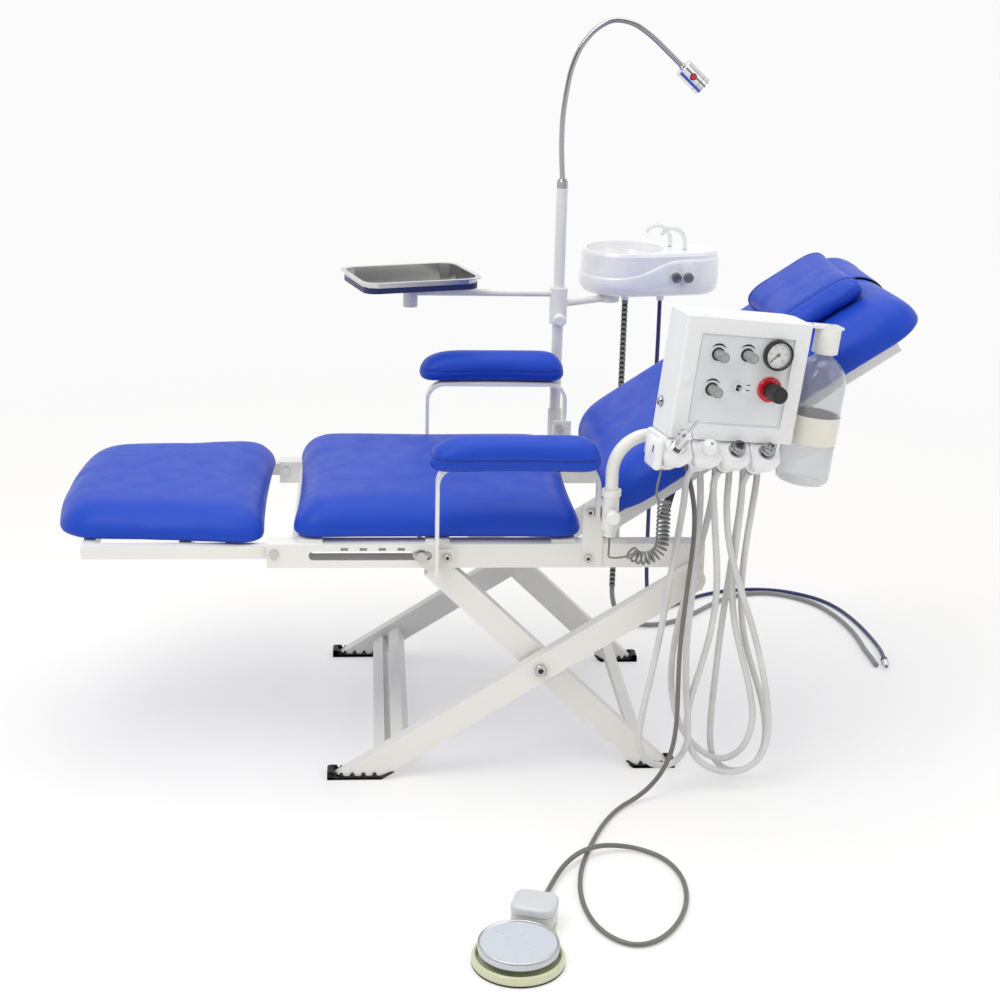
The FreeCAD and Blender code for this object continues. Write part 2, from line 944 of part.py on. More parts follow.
back_pin = fuse(
    "BackPin",
    [
        rod(
            "BackPinShank",
            "y",
            back_pin_x,
            -(rail_inner + 2),
            back_pin_z,
            pin_radius,
            rail_inner + 2 - back_in + 2,
        ),
        rod("BackPinHead", "y", back_pin_x, -(rail_inner + 3), back_pin_z, pin_radius + 3, 3),
        rod("BackPinClip", "y", back_pin_x, -(back_in - 0.3), back_pin_z, pin_radius + 3, 3),
    ],
)
node(
    "hinge_pins",
    pair("HingeBolt", hinge_bolt)
    + pair("HingeWasher", washer)
    + pair("RestPin", rest_pin)
    + pair("BackPin", back_pin),
)

prop = tilted(
    box("PropBar", 0, prop_length, -back_in, -(back_in - sheet_steel), -prop_width / 2, prop_width / 2),
    prop_from,
    0,
    prop_angle,
)
node("recline_props", pair("RecliningProp", back_place(prop)))

back_pad = stuffed(
    "BackPad",
    (back_start, back_end),
    (back_half, back_half),
    (back_low_corner, back_high_corner),
    (side_draw, side_draw),
    cushion_levels(back_thickness),
)
back_seat = place(group("BackPadSet", [back_pad]), 0, 0, rest_half_tube)
node("backrest_cushion", [back_place(back_seat)])

pillow_levels = [
    (0, edge_roll * 0.6),
    (pillow_thickness * 0.28, edge_roll * 0.1),
    (pillow_thickness * 0.55, 0),
    (pillow_thickness * 0.82, edge_roll * 0.25),
    (pillow_thickness, edge_roll),
    (pillow_thickness + crown * 0.8, edge_roll * 2.2),
    (pillow_thickness + crown, edge_roll * 3.4),
]
pillow = stuffed(
    "Pillow",
    (pillow_start, pillow_end),
    (pillow_half, pillow_half),
    (pillow_corner, pillow_corner),
    (side_draw * 0.5, side_draw * 0.5),
    pillow_levels,
)
pillow_seat = rest_half_tube + back_thickness + crown + 0.3
node("head_pillow", [back_place(place(group("PillowSet", [pillow]), 0, 0, pillow_seat))])

strap_top = back_thickness + crown * 0.7
strap_out = strap_web + 0.6
strap = plate(
    "HeadStrap",
    [
        (pillow_end + 1, strap_top + 0.6),
        (back_end - edge_roll + 0.5, back_thickness + 0.6),
        (back_end - edge_roll * 0.3 + 0.6, back_thickness - edge_roll * 0.3 + 0.6),
        (back_end + 0.6, back_thickness - edge_roll),
        (back_end + 0.6, edge_roll * 0.5),
        (back_end - edge_roll * 0.5, -0.6),
        (back_end - edge_roll * 3, -0.6),
        (back_end - edge_roll * 3, -strap_out),
        (back_end - edge_roll * 0.5 + 1, -strap_out),
        (back_end + strap_out, edge_roll * 0.5 - 1),
        (back_end + strap_out, back_thickness - edge_roll + 0.5),
        (back_end - edge_roll * 0.3 + 2.4, back_thickness - edge_roll * 0.3 + 2.4),
        (back_end - edge_roll + 1, back_thickness + strap_out),
        (pillow_end + 1, strap_top + strap_out),
    ],
    strap_width,
)
aim(strap, 0, strap_far, rest_half_tube, FreeCAD.Rotation(Vector(1, 0, 0), 90))
node("head_strap", [back_place(strap)])

# Arm rests: a pad on a bent flat strap each side, bolted to the rail and the bracket plate.
pad_front = size("arm_pad_front", -187.0)
pad_back = size("arm_pad_back", 90.0)
pad_y = size("arm_pad_y", 295.0)
pad_width = size("arm_pad_width", 80.0)
pad_bottom = size("arm_pad_bottom", 560.0)
pad_thickness = size("arm_pad_thickness", 52.0)
pad_corner = size("arm_pad_corner", 24.0)
seam_depth = size("arm_pad_seam", 1.5)
arm_strap = size("arm_strap_width", 25.0)
arm_strap_low = size("arm_strap_low", 369.0)
arm_bar = size("arm_strap_thickness", 6.0)
arm_strap_gap = size("arm_strap_gap", 18.0)
arm_strap_bend = size("arm_strap_bend", 32.0)
arm_rear_x = size("arm_strap_rear_x", 92.0)
bracket_front = size("bracket_front", 70.0)
bracket_back = size("bracket_back", 104.0)
bracket_low = size("bracket_low", 376.0)
bracket_high = size("bracket_high", 487.0)

pad_levels = [
    (0, edge_roll * 0.7),
    (pad_thickness * 0.2, edge_roll * 0.08),
    (pad_thickness * 0.45, 0),
    (pad_thickness * 0.5, seam_depth),
    (pad_thickness * 0.55, 0),
    (pad_thickness * 0.8, edge_roll * 0.12),
    (pad_thickness, edge_roll * 0.8),
    (pad_thickness + crown * 0.6, edge_roll * 1.6),
]
arm_pad = stuffed(
    "ArmPad",
    (pad_front, pad_back),
    (pad_width / 2, pad_width / 2),
    (pad_corner, pad_corner),
    (side_draw * 0.25, side_draw * 0.25),
    pad_levels,
)
arm_pad_seat = place(group("ArmPadSet", [arm_pad]), 0, -pad_y, pad_bottom)
node("armrest_pads", pair("ArmPad", arm_pad_seat))

strap_path_points = [
    (arm_strap_x - arm_strap_gap, arm_strap_low),
    (arm_strap_x - arm_strap_gap, pad_bottom - arm_bar / 2),
    (arm_rear_x, pad_bottom - arm_bar / 2),
    (arm_rear_x, bolt_high_z - small_head),
]
strap_path_points = [Vector(float(x), -float(strap_mid), float(z)) for x, z in strap_path_points]
strap_path = tube_path(strap_path_points, float(arm_strap_bend))[0]
bar_half = float(arm_bar) / 2
bar_y = -float(strap_mid)
bar_corners = [
    (-bar_half, bar_y),
    (bar_half, bar_y),
    (bar_half, bar_y - float(arm_strap)),
    (-bar_half, bar_y - float(arm_strap)),
]
bar_foot = strap_path_points[0]
bar_section = [Vector(bar_foot.x + x, y, bar_foot.z) for x, y in bar_corners]
bar_wire = Part.makePolygon(bar_section + bar_section[:1])
strap_bar = solid("ArmStrapBar", strap_path.makePipeShell([bar_wire], True, False))
arm_strap_blank = fuse(
    "ArmStrapBlank",
    [
        strap_bar,
        box(
            "ArmStrapTab",
            arm_strap_x - arm_strap_gap - arm_bar / 2,
            arm_strap_x + small_head + 4,
            -(strap_mid + sheet_steel),
            -strap_in,
            slot_height - arm_strap / 2,
            slot_height + arm_strap / 2,
        ),
        box(
            "ArmRearTab",
            bolt_x - small_head - 3,
            arm_rear_x + arm_bar / 2,
            -strap_edge,
            -strap_mid,
            bolt_high_z - arm_strap / 2,
            bolt_high_z + arm_strap / 2,
        ),
    ],
)
arm_strap_piece = cut("ArmStrap", arm_strap_blank, bolt_bores("ArmStrapBores"))
node("armrest_straps", pair("ArmStrap", arm_strap_piece))

# Bracket plates on the rails: the near one holds the delivery arm, the far one the pole.
arm_x = size("arm_socket_x", 107.9)
arm_y = size("arm_socket_y", 308.1)
arm_radius = size("arm_tube_radius", 10.5)
sleeve_radius = size("sleeve_radius", 13.5)
sleeve_low = size("arm_sleeve_low", 462.0)
sleeve_high = size("arm_sleeve_high", 519.0)
flange_thickness = size("flange_thickness", 6.0)
flange_height = size("pole_flange_height", 20.0)
pole_x = size("pole_x", 82.0)
pole_y = size("pole_y", 348.0)
pole_radius = size("pole_radius", 10.5)
pole_wall = size("pole_wall", 1.5)
pole_low = size("pole_low", 434.0)
pole_high = size("pole_high", 919.0)
pole_sleeve_high = size("pole_sleeve_high", 486.0)
knob_thread = size("knob_thread_radius", 4.0)
arm_knob_z = size("arm_knob_z", 490.0)


def bracket_plate(name, y0, y1):
    return box(name, bracket_front, bracket_back, y0, y1, bracket_low, bracket_high)


near_bracket = cut(
    "NearBracket",
    fuse(
        "NearBracketBlank",
        [
            bracket_plate("NearPlate", -strap_mid, -strap_in),
            box(
                "NearFlange",
                bracket_back - flange_thickness,
                bracket_back,
                -arm_y,
                -strap_in,
                sleeve_low,
                bracket_high,
            ),
            rod("NearSleeve", "z", arm_x, -arm_y, sleeve_low, sleeve_radius, sleeve_high - sleeve_low),
        ],
    ),
    fuse(
        "NearBracketBores",
        [
            bolt_bores("NearPlateBores"),
            rod("NearSleeveBore", "z", arm_x, -arm_y, sleeve_low - 1, arm_radius + fit, 200),
            rod("NearKnobBore", "y", arm_x, -(arm_y + 20), arm_knob_z, knob_thread + fit, 20),
        ],
    ),
)
node("unit_bracket", [near_bracket])

far_bracket = cut(
    "FarBracket",
    fuse(
        "FarBracketBlank",
        [
            bracket_plate("FarPlate", strap_in, strap_mid),
            box(
                "FarFlange",
                pole_x - flange_thickness,
                pole_x + flange_thickness,
                strap_in,
                pole_y,
                pole_low + 4,
                pole_low + 4 + flange_height,
            ),
            rod("FarSleeve", "z", pole_x, pole_y, pole_low, sleeve_radius, pole_sleeve_high - pole_low),
        ],
    ),
    fuse(
        "FarBracketBores",
        [
            far_side("FarPlateBores", bolt_bores("FarPlateBoresNear")),
            rod("FarSleeveBore", "z", pole_x, pole_y, pole_low + 5, pole_radius + fit, 200),
        ],
    ),
)
node("pole_bracket", [far_bracket])


def small_bolt_set(name, x, z, head_y, tail_y):
    return fuse(
        name,
        [
            rod(name + "Shank", "y", x, -(head_y + 1), z, small_bolt, head_y + 1 - tail_y + small_cap),
            rod(name + "Head", "y", x, -(head_y + small_cap), z, small_head, small_cap),
            rod(name + "Nut", "y", x, -tail_y, z, small_head, small_cap),
        ],
    )


frame_bolts = []
frame_bolts += pair("BoltLow", small_bolt_set("BoltLow", bolt_x, bolt_low_z, strap_mid, web_y))
frame_bolts += pair("BoltHigh", small_bolt_set("BoltHigh", bolt_x, bolt_high_z, strap_edge, strap_in))
frame_bolts += pair("BoltArm", small_bolt_set("BoltArm", arm_strap_x, slot_height, strap_edge, web_y))
node("frame_bolts", frame_bolts)


def tube(name, points, radius):
    points = [Vector(*point) for point in points]
    path, radii = tube_path(points)
    radius = float(radius)
    face = Part.Circle(points[0], points[1] - points[0], radius).toShape()
    shape = path.makePipeShell([Part.Wire([face])], True, False)
    fill = shape.Volume / (math.pi * radius * radius * path.Length)
    print(name, "length", round(path.Length), "least radius", round(min(radii), 1), "fill", round(fill, 4))
    return solid(name, shape)


# Pole at the far side, with a fixed stop collar that carries the two swinging arms.
collar_radius = size("collar_radius", 17.0)
stop_low = size("stop_collar_low", 658.0)
stop_height = size("stop_collar_height", 26.0)
spit_collar = size("spittoon_collar_height", 24.0)
tray_collar = size("tray_collar_height", 20.0)
stop_top = stop_low + stop_height
spit_top = stop_top + spit_collar
pole_seat = pole_low + 5
pole = cut(
    "PoleTube",
    rod("PoleOutside", "z", pole_x, pole_y, pole_seat, pole_radius, pole_high - pole_seat),
    rod("PoleInside", "z", pole_x, pole_y, pole_seat - 1, pole_radius - pole_wall, pole_high),
)
stop_collar = cut(
    "StopCollar",
    rod("StopCollarDisc", "z", pole_x, pole_y, stop_low, collar_radius, stop_height),
    fuse(
        "StopCollarBores",
        [
            rod("StopCollarBore", "z", pole_x, pole_y, stop_low - 1, pole_radius + fit, stop_height + 2),
            rod("StopKnobBore", "y", pole_x, pole_y - 30, stop_low + stop_height / 2, knob_thread + fit, 30),
        ],
    ),
)
node("lamp_pole", [pole, stop_collar])

knob_radius = size("clamp_knob_radius", 12.0)
knob_length = size("clamp_knob_length", 17.0)
knob_neck = size("clamp_knob_neck", 7.0)


def clamp_knob(name, tip):
    """A hand knob on a threaded stem, drawn along +Z from the stem's tip."""
    head = tip + knob_neck
    return turned(
        name,
        [
            (0, 0),
            (knob_thread, 0),
            (knob_thread, tip + 1),
            (knob_thread + 2, tip + 1),
            (knob_thread + 2, head),
            (knob_radius - 2, head),
            (knob_radius, head + 2),
            (knob_radius, head + knob_length - 3),
            (knob_radius - 3, head + knob_length),
            (0, head + knob_length),
        ],
    )


FACE_NEAR = FreeCAD.Rotation(Vector(1, 0, 0), 90)
arm_knob = clamp_knob("ArmClampKnob", sleeve_radius - arm_radius - 0.3)
aim(arm_knob, arm_x, -(arm_y + arm_radius + 0.3), arm_knob_z, FACE_NEAR)
node("arm_clamp_knob", [arm_knob])
collar_knob = clamp_knob("CollarKnob", collar_radius - pole_radius - 0.3)
aim(collar_knob, pole_x, pole_y - pole_radius - 0.3, stop_low + stop_height / 2, FACE_NEAR)
node("collar_knob", [collar_knob])

# Lamp: a gooseneck on a spigot in the pole's open top, and a small bell-shaped head.
neck_radius = size("gooseneck_radius", 5.0)
ferrule_height = size("ferrule_height", 18.0)
spigot_length = size("spigot_length", 30.0)
ferrule = turned(
    "LampFerrule",
    [
        (0, -spigot_length),
        (pole_radius - pole_wall - fit, -spigot_length),
        (pole_radius - pole_wall - fit, 0),
        (pole_radius, 0),
        (pole_radius, ferrule_height * 0.7),
        (neck_radius + 2, ferrule_height),
        (0, ferrule_height),
    ],
)
aim(ferrule, pole_x, pole_y, pole_high, FreeCAD.Rotation())
neck_foot = float(pole_high + ferrule_height)
neck_x = float(pole_x)
neck_y = float(pole_y)
neck_points = [
    (0, 0),
    (-2, 26),
    (-4, 62),
    (-4, 108),
    (1, 156),
    (9, 202),
    (25, 243),
    (51, 275),
    (84, 294),
    (123, 288),
    (160, 263),
    (192, 234),
    (215, 213),
]
neck = tube("LampNeck", [(neck_x + x, neck_y, neck_foot + z) for x, z in neck_points], neck_radius)
lamp_radius = size("lamp_radius", 18.0)
lamp_length = size("lamp_length", 58.0)
lamp_recess = size("lamp_recess", 5.0)
lamp_wall = size("lamp_wall", 2.5)
lamp_shell = turned(
    "LampShell",
    [
        (0, 0),
        (neck_radius + 3, 0),
        (neck_radius + 3, lamp_length * 0.1),
        (lamp_radius - 1, lamp_length * 0.1),
        (lamp_radius, lamp_length * 0.12),
        (lamp_radius, lamp_length),
        (lamp_radius - lamp_wall, lamp_length),
        (lamp_radius - lamp_wall, lamp_length - lamp_recess),
        (0, lamp_length - lamp_recess),
    ],
)
neck_end = Vector(*[float(value) for value in (neck_x + 215, neck_y, neck_foot + 213)])
neck_aim = Vector(215 - 192, 0, 213 - 234)
lamp_turn = FreeCAD.Rotation(Vector(0, 0, 1), neck_aim)
button_radius = size("lamp_button_radius", 5.0)
button_travel = size("lamp_button_travel", 1.5)
button_bore = rod("LampButtonBore", "y", 0, -(lamp_radius + 1), lamp_length * 0.5, button_radius + fit, 9)
lamp_head = cut("LampHead", lamp_shell, button_bore)
lamp_head.Placement = FreeCAD.Placement(neck_end, lamp_turn)
node("lamp_gooseneck", [ferrule, neck])
node("lamp_head", [lamp_head])
lamp_button = group(
    "LampButtonSet",
    [rod("LampButton", "y", 0, -lamp_radius - button_travel * 2, lamp_length * 0.5, button_radius, 8)],
)
lamp_button.Placement = FreeCAD.Placement(neck_end, lamp_turn)
node("lamp_button", [lamp_button])

# Instrument tray on a swinging arm; the tray turns on its own spindle.
tray_x = size("tray_x", -204.0)
tray_arm_z = size("tray_arm_z", 717.0)
tray_arm_radius = size("tray_arm_radius", 7.0)
boss_radius = size("tray_boss_radius", 14.0)
boss_low = size("tray_boss_low", 689.0)
boss_high = size("tray_boss_high", 729.0)
spindle_radius = size("tray_spindle_radius", 6.0)
holder_radius = size("tray_holder_radius", 46.0)
holder_thickness = size("tray_holder_thickness", 4.7)
tray_length = size("tray_length", 240.0)
tray_width = size("tray_width", 180.0)
tray_depth = size("tray_depth", 20.0)
tray_wall = size("tray_wall", 1.5)
tray_lip = size("tray_lip", 7.0)
tray_corner = size("tray_corner", 24.0)
tray_yaw = size("tray_yaw", 17.0)

tray_arm = cut(
    "TrayArm",
    fuse(
        "TrayArmBlank",
        [
            rod("TrayArmRun", "x", tray_x, pole_y, tray_arm_z, tray_arm_radius, pole_x - tray_x),
            rod("TrayArmCollar", "z", pole_x, pole_y, spit_top, collar_radius, tray_collar),
            rod("TrayBoss", "z", tray_x, pole_y, boss_low, boss_radius, boss_high - boss_low),
        ],
    ),
    fuse(
        "TrayArmBores",
        [
            rod("TrayCollarBore", "z", pole_x, pole_y, spit_top - 1, pole_radius + fit, tray_collar + 2),
            rod("TrayBossBore", "z", tray_x, pole_y, boss_low + 4, spindle_radius + fit, 100),
        ],
    ),
)
node("tray_arm", [tray_arm])
tray_holder = turned(
    "TrayHolder",
    [
        (0, boss_low + 6),
        (spindle_radius, boss_low + 6),
        (spindle_radius, boss_high + 0.3),
        (holder_radius, boss_high + 0.3),
        (holder_radius, boss_high + 0.3 + holder_thickness),
        (0, boss_high + 0.3 + holder_thickness),
    ],
)
aim(tray_holder, tray_x, pole_y, 0, FreeCAD.Rotation())
node("tray_holder", [tray_holder])
tray_floor = boss_high + 0.3 + holder_thickness


def tray_outline(grow):
    long_half = tray_length / 2 + grow
    wide_half = tray_width / 2 + grow
    nip = tray_corner
    bite = tray_corner * 0.3
    return [
        (nip - long_half, -wide_half),
        (long_half - nip, -wide_half),
        (long_half - bite, bite - wide_half),
        (long_half, nip - wide_half),
        (long_half, wide_half - nip),
        (long_half - bite, wide_half - bite),
        (long_half - nip, wide_half),
        (nip - long_half, wide_half),
        (bite - long_half, wide_half - bite),
        (-long_half, wide_half - nip),
        (-long_half, nip - wide_half),
        (bite - long_half, bite - wide_half),
    ]


tray_rim = plate("TrayRim", tray_outline(0), tray_wall)
aim(tray_rim, 0, 0, tray_depth - tray_wall, FreeCAD.Rotation())
tray_blank = fuse("TrayBlank", [plate("TrayOutside", tray_outline(-tray_lip), tray_depth), tray_rim])
tray_inside = plate("TrayInside", tray_outline(-(tray_lip + tray_wall)), tray_depth)
aim(tray_inside, 0, 0, tray_wall, FreeCAD.Rotation())
tray = cut("TrayPan", tray_blank, tray_inside)
turn(tray, Vector(0, 0, 1), tray_yaw)
place(tray, tray_x, pole_y, tray_floor)
node("instrument_tray", [tray])

# Spittoon: an egg-shaped basin on its own arm, with two water spouts and two valves.
spit_arm_z = size("spittoon_arm_z", 696.0)
spit_arm_radius = size("spittoon_arm_radius", 7.0)
spit_arm_length = size("spittoon_arm_length", 125.0)
spit_arm_angle = size("spittoon_arm_angle", 31.3)
spit_pad_radius = size("spittoon_pad_radius", 20.0)
basin_low = size("basin_low", 705.0)
basin_high = size("basin_high", 789.0)
bowl_x = size("bowl_x", 221.0)
bowl_y = size("bowl_y", 450.5)
bowl_outer = size("bowl_outer_radius", 86.0)
deck_x = size("deck_x", 348.0)
deck_radius = size("deck_radius", 60.0)
bowl_rim = size("bowl_rim", 9.0)
drain_x = size("drain_x", 223.0)
drain_y = size("drain_y", 426.5)
supply_x = size("supply_x", 293.0)
supply_y = size("supply_y", 428.5)
nipple_radius = size("nipple_radius", 7.5)
nipple_low = size("nipple_low", 689.0)
valve_x = size("valve_x", 314.0)
valve_pitch = size("valve_pitch", 24.0)
valve_z = size("valve_z", 745.0)
valve_face = size("valve_face_y", 380.0)
valve_seat = size("valve_seat_radius", 10.0)
stem_radius = size("valve_stem_radius", 4.0)

spit_arm = cut(
    "SpitArm",
    fuse(
        "SpitArmBlank",
        [
            rod("SpitArmRun", "x", 0, 0, spit_arm_z, spit_arm_radius, spit_arm_length),
            rod("SpitArmCollar", "z", 0, 0, stop_top, collar_radius, spit_collar),
            rod(
                "SpitArmPad",
                "z",
                spit_arm_length,
                0,
                spit_arm_z - spit_arm_radius,
                spit_pad_radius,
                basin_low - spit_arm_z + spit_arm_radius,
            ),
        ],
    ),
    rod("SpitCollarBore", "z", 0, 0, stop_top - 1, pole_radius + fit, spit_collar + 2),
)
turn(spit_arm, Vector(0, 0, 1), spit_arm_angle)
place(spit_arm, pole_x, pole_y, 0)
node("spittoon_arm", [spit_arm])


def egg_wire(inset, level):
    """Two round ends, the larger at the bowl, joined by their common tangents."""
    big = float(bowl_outer) - inset
    small = float(deck_radius) - inset
    left = float(bowl_x)
    right = float(deck_x)
    middle = float(bowl_y)
    lean = math.asin((big - small) / (right - left))

    def point(x, radius, angle):
        return Vector(x + radius * math.sin(angle), middle + radius * math.cos(angle), level)

    far_big = point(left, big, lean)
    far_small = point(right, small, lean)
    near_small = point(right, small, math.pi - lean)
    near_big = point(left, big, math.pi - lean)
    back = Vector(left - big, middle, level)
    upper = point(left, big, (lean - math.pi / 2) / 2)
    lower = Vector(upper.x, 2 * middle - upper.y, level)
    edges = [
        Part.LineSegment(far_big, far_small),
        Part.Arc(far_small, Vector(right + small, middle, level), near_small),
        Part.LineSegment(near_small, near_big),
        Part.Arc(near_big, lower, back),
        Part.Arc(back, upper, far_big),
    ]
    return Part.Wire([edge.toShape() for edge in edges])


rise = float(basin_high - basin_low)
foot = float(basin_low)
egg = [(9, 0), (4, 0.04), (1.5, 0.1), (0, 0.22), (0.5, 0.55), (2, 0.93), (4.5, 1)]
basin_skin = solid(
    "BasinSkin", Part.makeLoft([egg_wire(inset, foot + rise * part) for inset, part in egg], True, True)
)
bowl_radius = bowl_outer - bowl_rim
bowl_depth = basin_high - basin_low
bowl = turned(
    "BowlHollow",
    [
        (0, basin_low + bowl_depth * 0.14),
        (12, basin_low + bowl_depth * 0.14),
        (14, basin_low + bowl_depth * 0.18),
        (bowl_radius * 0.55, basin_low + bowl_depth * 0.25),
        (bowl_radius * 0.83, basin_low + bowl_depth * 0.5),
        (bowl_radius * 0.95, basin_low + bowl_depth * 0.8),
        (bowl_radius, basin_high + 1),
        (0, basin_high + 1),
    ],
)
aim(bowl, bowl_x, bowl_y, 0, FreeCAD.Rotation())
valve_seats = []
valve_bores = []
for index in range(2):
    at = valve_x + valve_pitch * index
    valve_seats.append(rod("ValveSeat" + str(index), "y", at, valve_face, valve_z, valve_seat, 22))
    valve_bores.append(
        rod("ValveBore" + str(index), "y", at, valve_face - 1, valve_z, stem_radius + fit, 20)
    )
nipples = [
    rod("DrainNipple", "z", drain_x, drain_y, nipple_low, nipple_radius, basin_low + 4 - nipple_low),
    rod("SupplyNipple", "z", supply_x, supply_y, nipple_low, nipple_radius, basin_low + 4 - nipple_low),
]
basin = cut(
    "Basin",
    fuse("BasinBlank", [basin_skin] + valve_seats + nipples),
    fuse("BasinHollows", [bowl] + valve_bores),
)
node("spittoon_basin", [basin])

valve_knob = size("valve_knob_radius", 9.0)
valve_length = size("valve_knob_length", 16.0)
for index, label in enumerate(("cup_valve", "bowl_valve")):
    knob = turned(
        "Valve" + str(index),
        [
            (0, 0),
            (stem_radius, 0),
            (stem_radius, 17),
            (valve_knob * 0.8, 17),
            (valve_knob, 20),
            (valve_knob, 17 + valve_length),
            (0, 17 + valve_length),
        ],
    )
    aim(knob, valve_x + valve_pitch * index, valve_face + 16.5, valve_z, FACE_NEAR)
    node(label, [knob])

spout_radius = size("spout_radius", 4.0)
spout_foot = float(basin_high)
spout_points = [(0, 0, 0), (0, 0, 18), (-6, 1, 33), (-21, 2, 42), (-38, 3, 39), (-48, 4, 28)]
spouts = []
for index in range(2):
    root_x = float(valve_x + valve_pitch * index)
    root_y = float(bowl_y) + 16 - 34 * index
    points = [(root_x + x, root_y + y, spout_foot + z) for x, y, z in spout_points]
    spouts.append(tube("Spout" + str(index), points, spout_radius))
node("water_spouts", spouts)

# Delivery unit: its own frame stands at the case's centre, turned and tipped on the bent arm.
unit_yaw = size("unit_yaw", 12.0)
unit_pitch = size("unit_pitch", 6.6)
corner_rise = size("arm_corner_rise", 105.8)
corner_height = sleeve_high + corner_rise
corner_x = size("arm_corner_local_x", -160.0)
corner_y = size("arm_corner_local_y", 54.0)
corner_z = size("arm_corner_local_z", -119.0)
arm_bend = size("arm_bend_radius", 60.0)
arm_low = size("arm_low", 450.0)
arm_run_end = size("arm_run_end", 20.0)
thrust_radius = size("thrust_collar_radius", 16.0)
thrust_height = size("thrust_collar_height", 10.0)
across = (cosine(unit_yaw) * cosine(unit_pitch), sine(unit_yaw) * cosine(unit_pitch), -sine(unit_pitch))
behind = (-sine(unit_yaw), cosine(unit_yaw), measure(0))
upward = (cosine(unit_yaw) * sine(unit_pitch), sine(unit_yaw) * sine(unit_pitch), cosine(unit_pitch))


def from_unit(x, y, z):
    """The chair-frame place of a point given in the unit's own frame."""
    return tuple(
        centre + a * x + b * y + c * z for centre, a, b, c in zip(unit_centre, across, behind, upward)
    )


def unit_point(x, y, z):
    return Vector(*[float(value) for value in from_unit(x, y, z)])


unit_centre = (measure(0), measure(0), measure(0))
unit_centre = tuple(
    end - offset
    for end, offset in zip((arm_x, -arm_y, corner_height), from_unit(corner_x, corner_y, corner_z))
)
UNIT_TURN = FreeCAD.Rotation(float(unit_yaw), float(unit_pitch), 0)


def on_unit(name, pieces):
    thing = group(name, pieces)
    return aim(thing, unit_centre[0], unit_centre[1], unit_centre[2], UNIT_TURN)


def unit_node(label, pieces):
    return node(label, [on_unit("Set_" + label, pieces)])


case_width = size("case_width", 213.0)
case_depth = size("case_depth", 85.0)
case_height = size("case_height", 194.0)
case_wall = size("case_wall", 3.0)
case_chamfer = size("case_rear_chamfer", 14.0)
case_edge = size("case_front_edge", 3.5)
window_width = size("window_width", 160.0)
window_height = size("window_height", 144.0)
panel_thickness = size("panel_thickness", 2.0)
panel_overlap = size("panel_overlap", 6.0)
case_front = -case_depth / 2
case_rear = case_depth / 2
case_low = -case_height / 2
panel_face = case_front + case_wall
panel_rear = panel_face + panel_thickness

arm_corner = Vector(float(arm_x), -float(arm_y), float(corner_height))
arm_path_points = [
    Vector(float(arm_x), -float(arm_y), float(arm_low)),
    arm_corner,
    unit_point(arm_run_end, corner_y, corner_z),
]
arm_path = tube_path(arm_path_points, float(arm_bend))[0]
arm_circle = Part.Circle(arm_path_points[0], Vector(0, 0, 1), float(arm_radius)).toShape()
arm_rod = solid("UnitArmRod", arm_path.makePipeShell([Part.Wire([arm_circle])], True, False))
arm_tab = on_unit(
    "UnitArmTab",
    [
        box(
            "UnitArmTabBox",
            arm_run_end - 40,
            arm_run_end - 2,
            case_rear,
            corner_y,
            corner_z - arm_radius * 0.8,
            case_low + 36,
        )
    ],
)
unit_arm = fuse(
    "UnitArm",
    [
        arm_rod,
        arm_tab,
        rod("ThrustCollar", "z", arm_x, -arm_y, sleeve_high, thrust_radius, thrust_height),
    ],
)
node("unit_arm", [unit_arm])


def case_outline(inset):
    half = case_width / 2 - inset
    front = case_front + inset
    rear = case_rear - inset
    nip = case_chamfer - inset * 0.6
    edge = case_edge - inset * 0.6
    return [
        (edge - half, front),
        (half - edge, front),
        (half, front + edge),
        (half, rear - nip),
        (half - nip, rear),
        (nip - half, rear),
        (-half, rear - nip),
        (-half, front + edge),
    ]


case_skin = plate("CaseSkin", case_outline(0), case_height)
aim(case_skin, 0, 0, case_low, FreeCAD.Rotation())
case_hollow = plate("CaseHollow", case_outline(case_wall), case_height - case_wall * 2)
aim(case_hollow, 0, 0, case_low + case_wall, FreeCAD.Rotation())
case_window = box(
    "CaseWindow",
    -window_width / 2,
    window_width / 2,
    case_front - 1,
    panel_face + 1,
    -window_height / 2,
    window_height / 2,
)
unit_node("unit_case", [cut("UnitCase", case_skin, fuse("CaseInside", [case_hollow, case_window]))])

# Controls: (across, up) positions on the recessed panel.
flow_radius = size("flow_knob_radius", 8.0)
flow_length = size("flow_knob_length", 28.0)
control_stem = size("control_stem_radius", 3.0)
flow_first_x = size("flow_first_x", -46.0)
flow_first_z = size("flow_first_z", 40.0)
flow_second_x = size("flow_second_x", 3.0)
flow_second_z = size("flow_second_z", 42.0)
flow_third_x = size("flow_third_x", -47.0)
flow_third_z = size("flow_third_z", -16.0)
toggle_x = size("toggle_x", -5.0)
toggle_z = size("toggle_z", -10.0)
bush_radius = size("toggle_bush_radius", 8.0)
bush_bore = size("toggle_bush_bore", 5.5)
bush_length = size("toggle_bush_length", 7.0)
lever_radius = size("toggle_lever_radius", 2.2)
lever_length = size("toggle_lever_length", 22.0)
lever_pin = size("toggle_pin_radius", 1.2)
gauge_x = size("gauge_x", 53.0)
gauge_z = size("gauge_z", 46.0)
gauge_radius = size("gauge_radius", 24.0)
gauge_depth = size("gauge_depth", 11.0)
needle_length = size("needle_length", 17.0)
reg_x = size("regulator_x", 50.0)
reg_z = size("regulator_z", -10.0)
ring_radius = size("regulator_ring_radius", 20.0)
ring_height = size("regulator_ring_height", 6.0)
reg_radius = size("regulator_knob_radius", 13.0)
reg_length = size("regulator_knob_length", 38.0)
flow_places = [
    (flow_first_x, flow_first_z),
    (flow_second_x, flow_second_z),
    (flow_third_x, flow_third_z),
]
pivot_y = panel_face - bush_length * 0.45
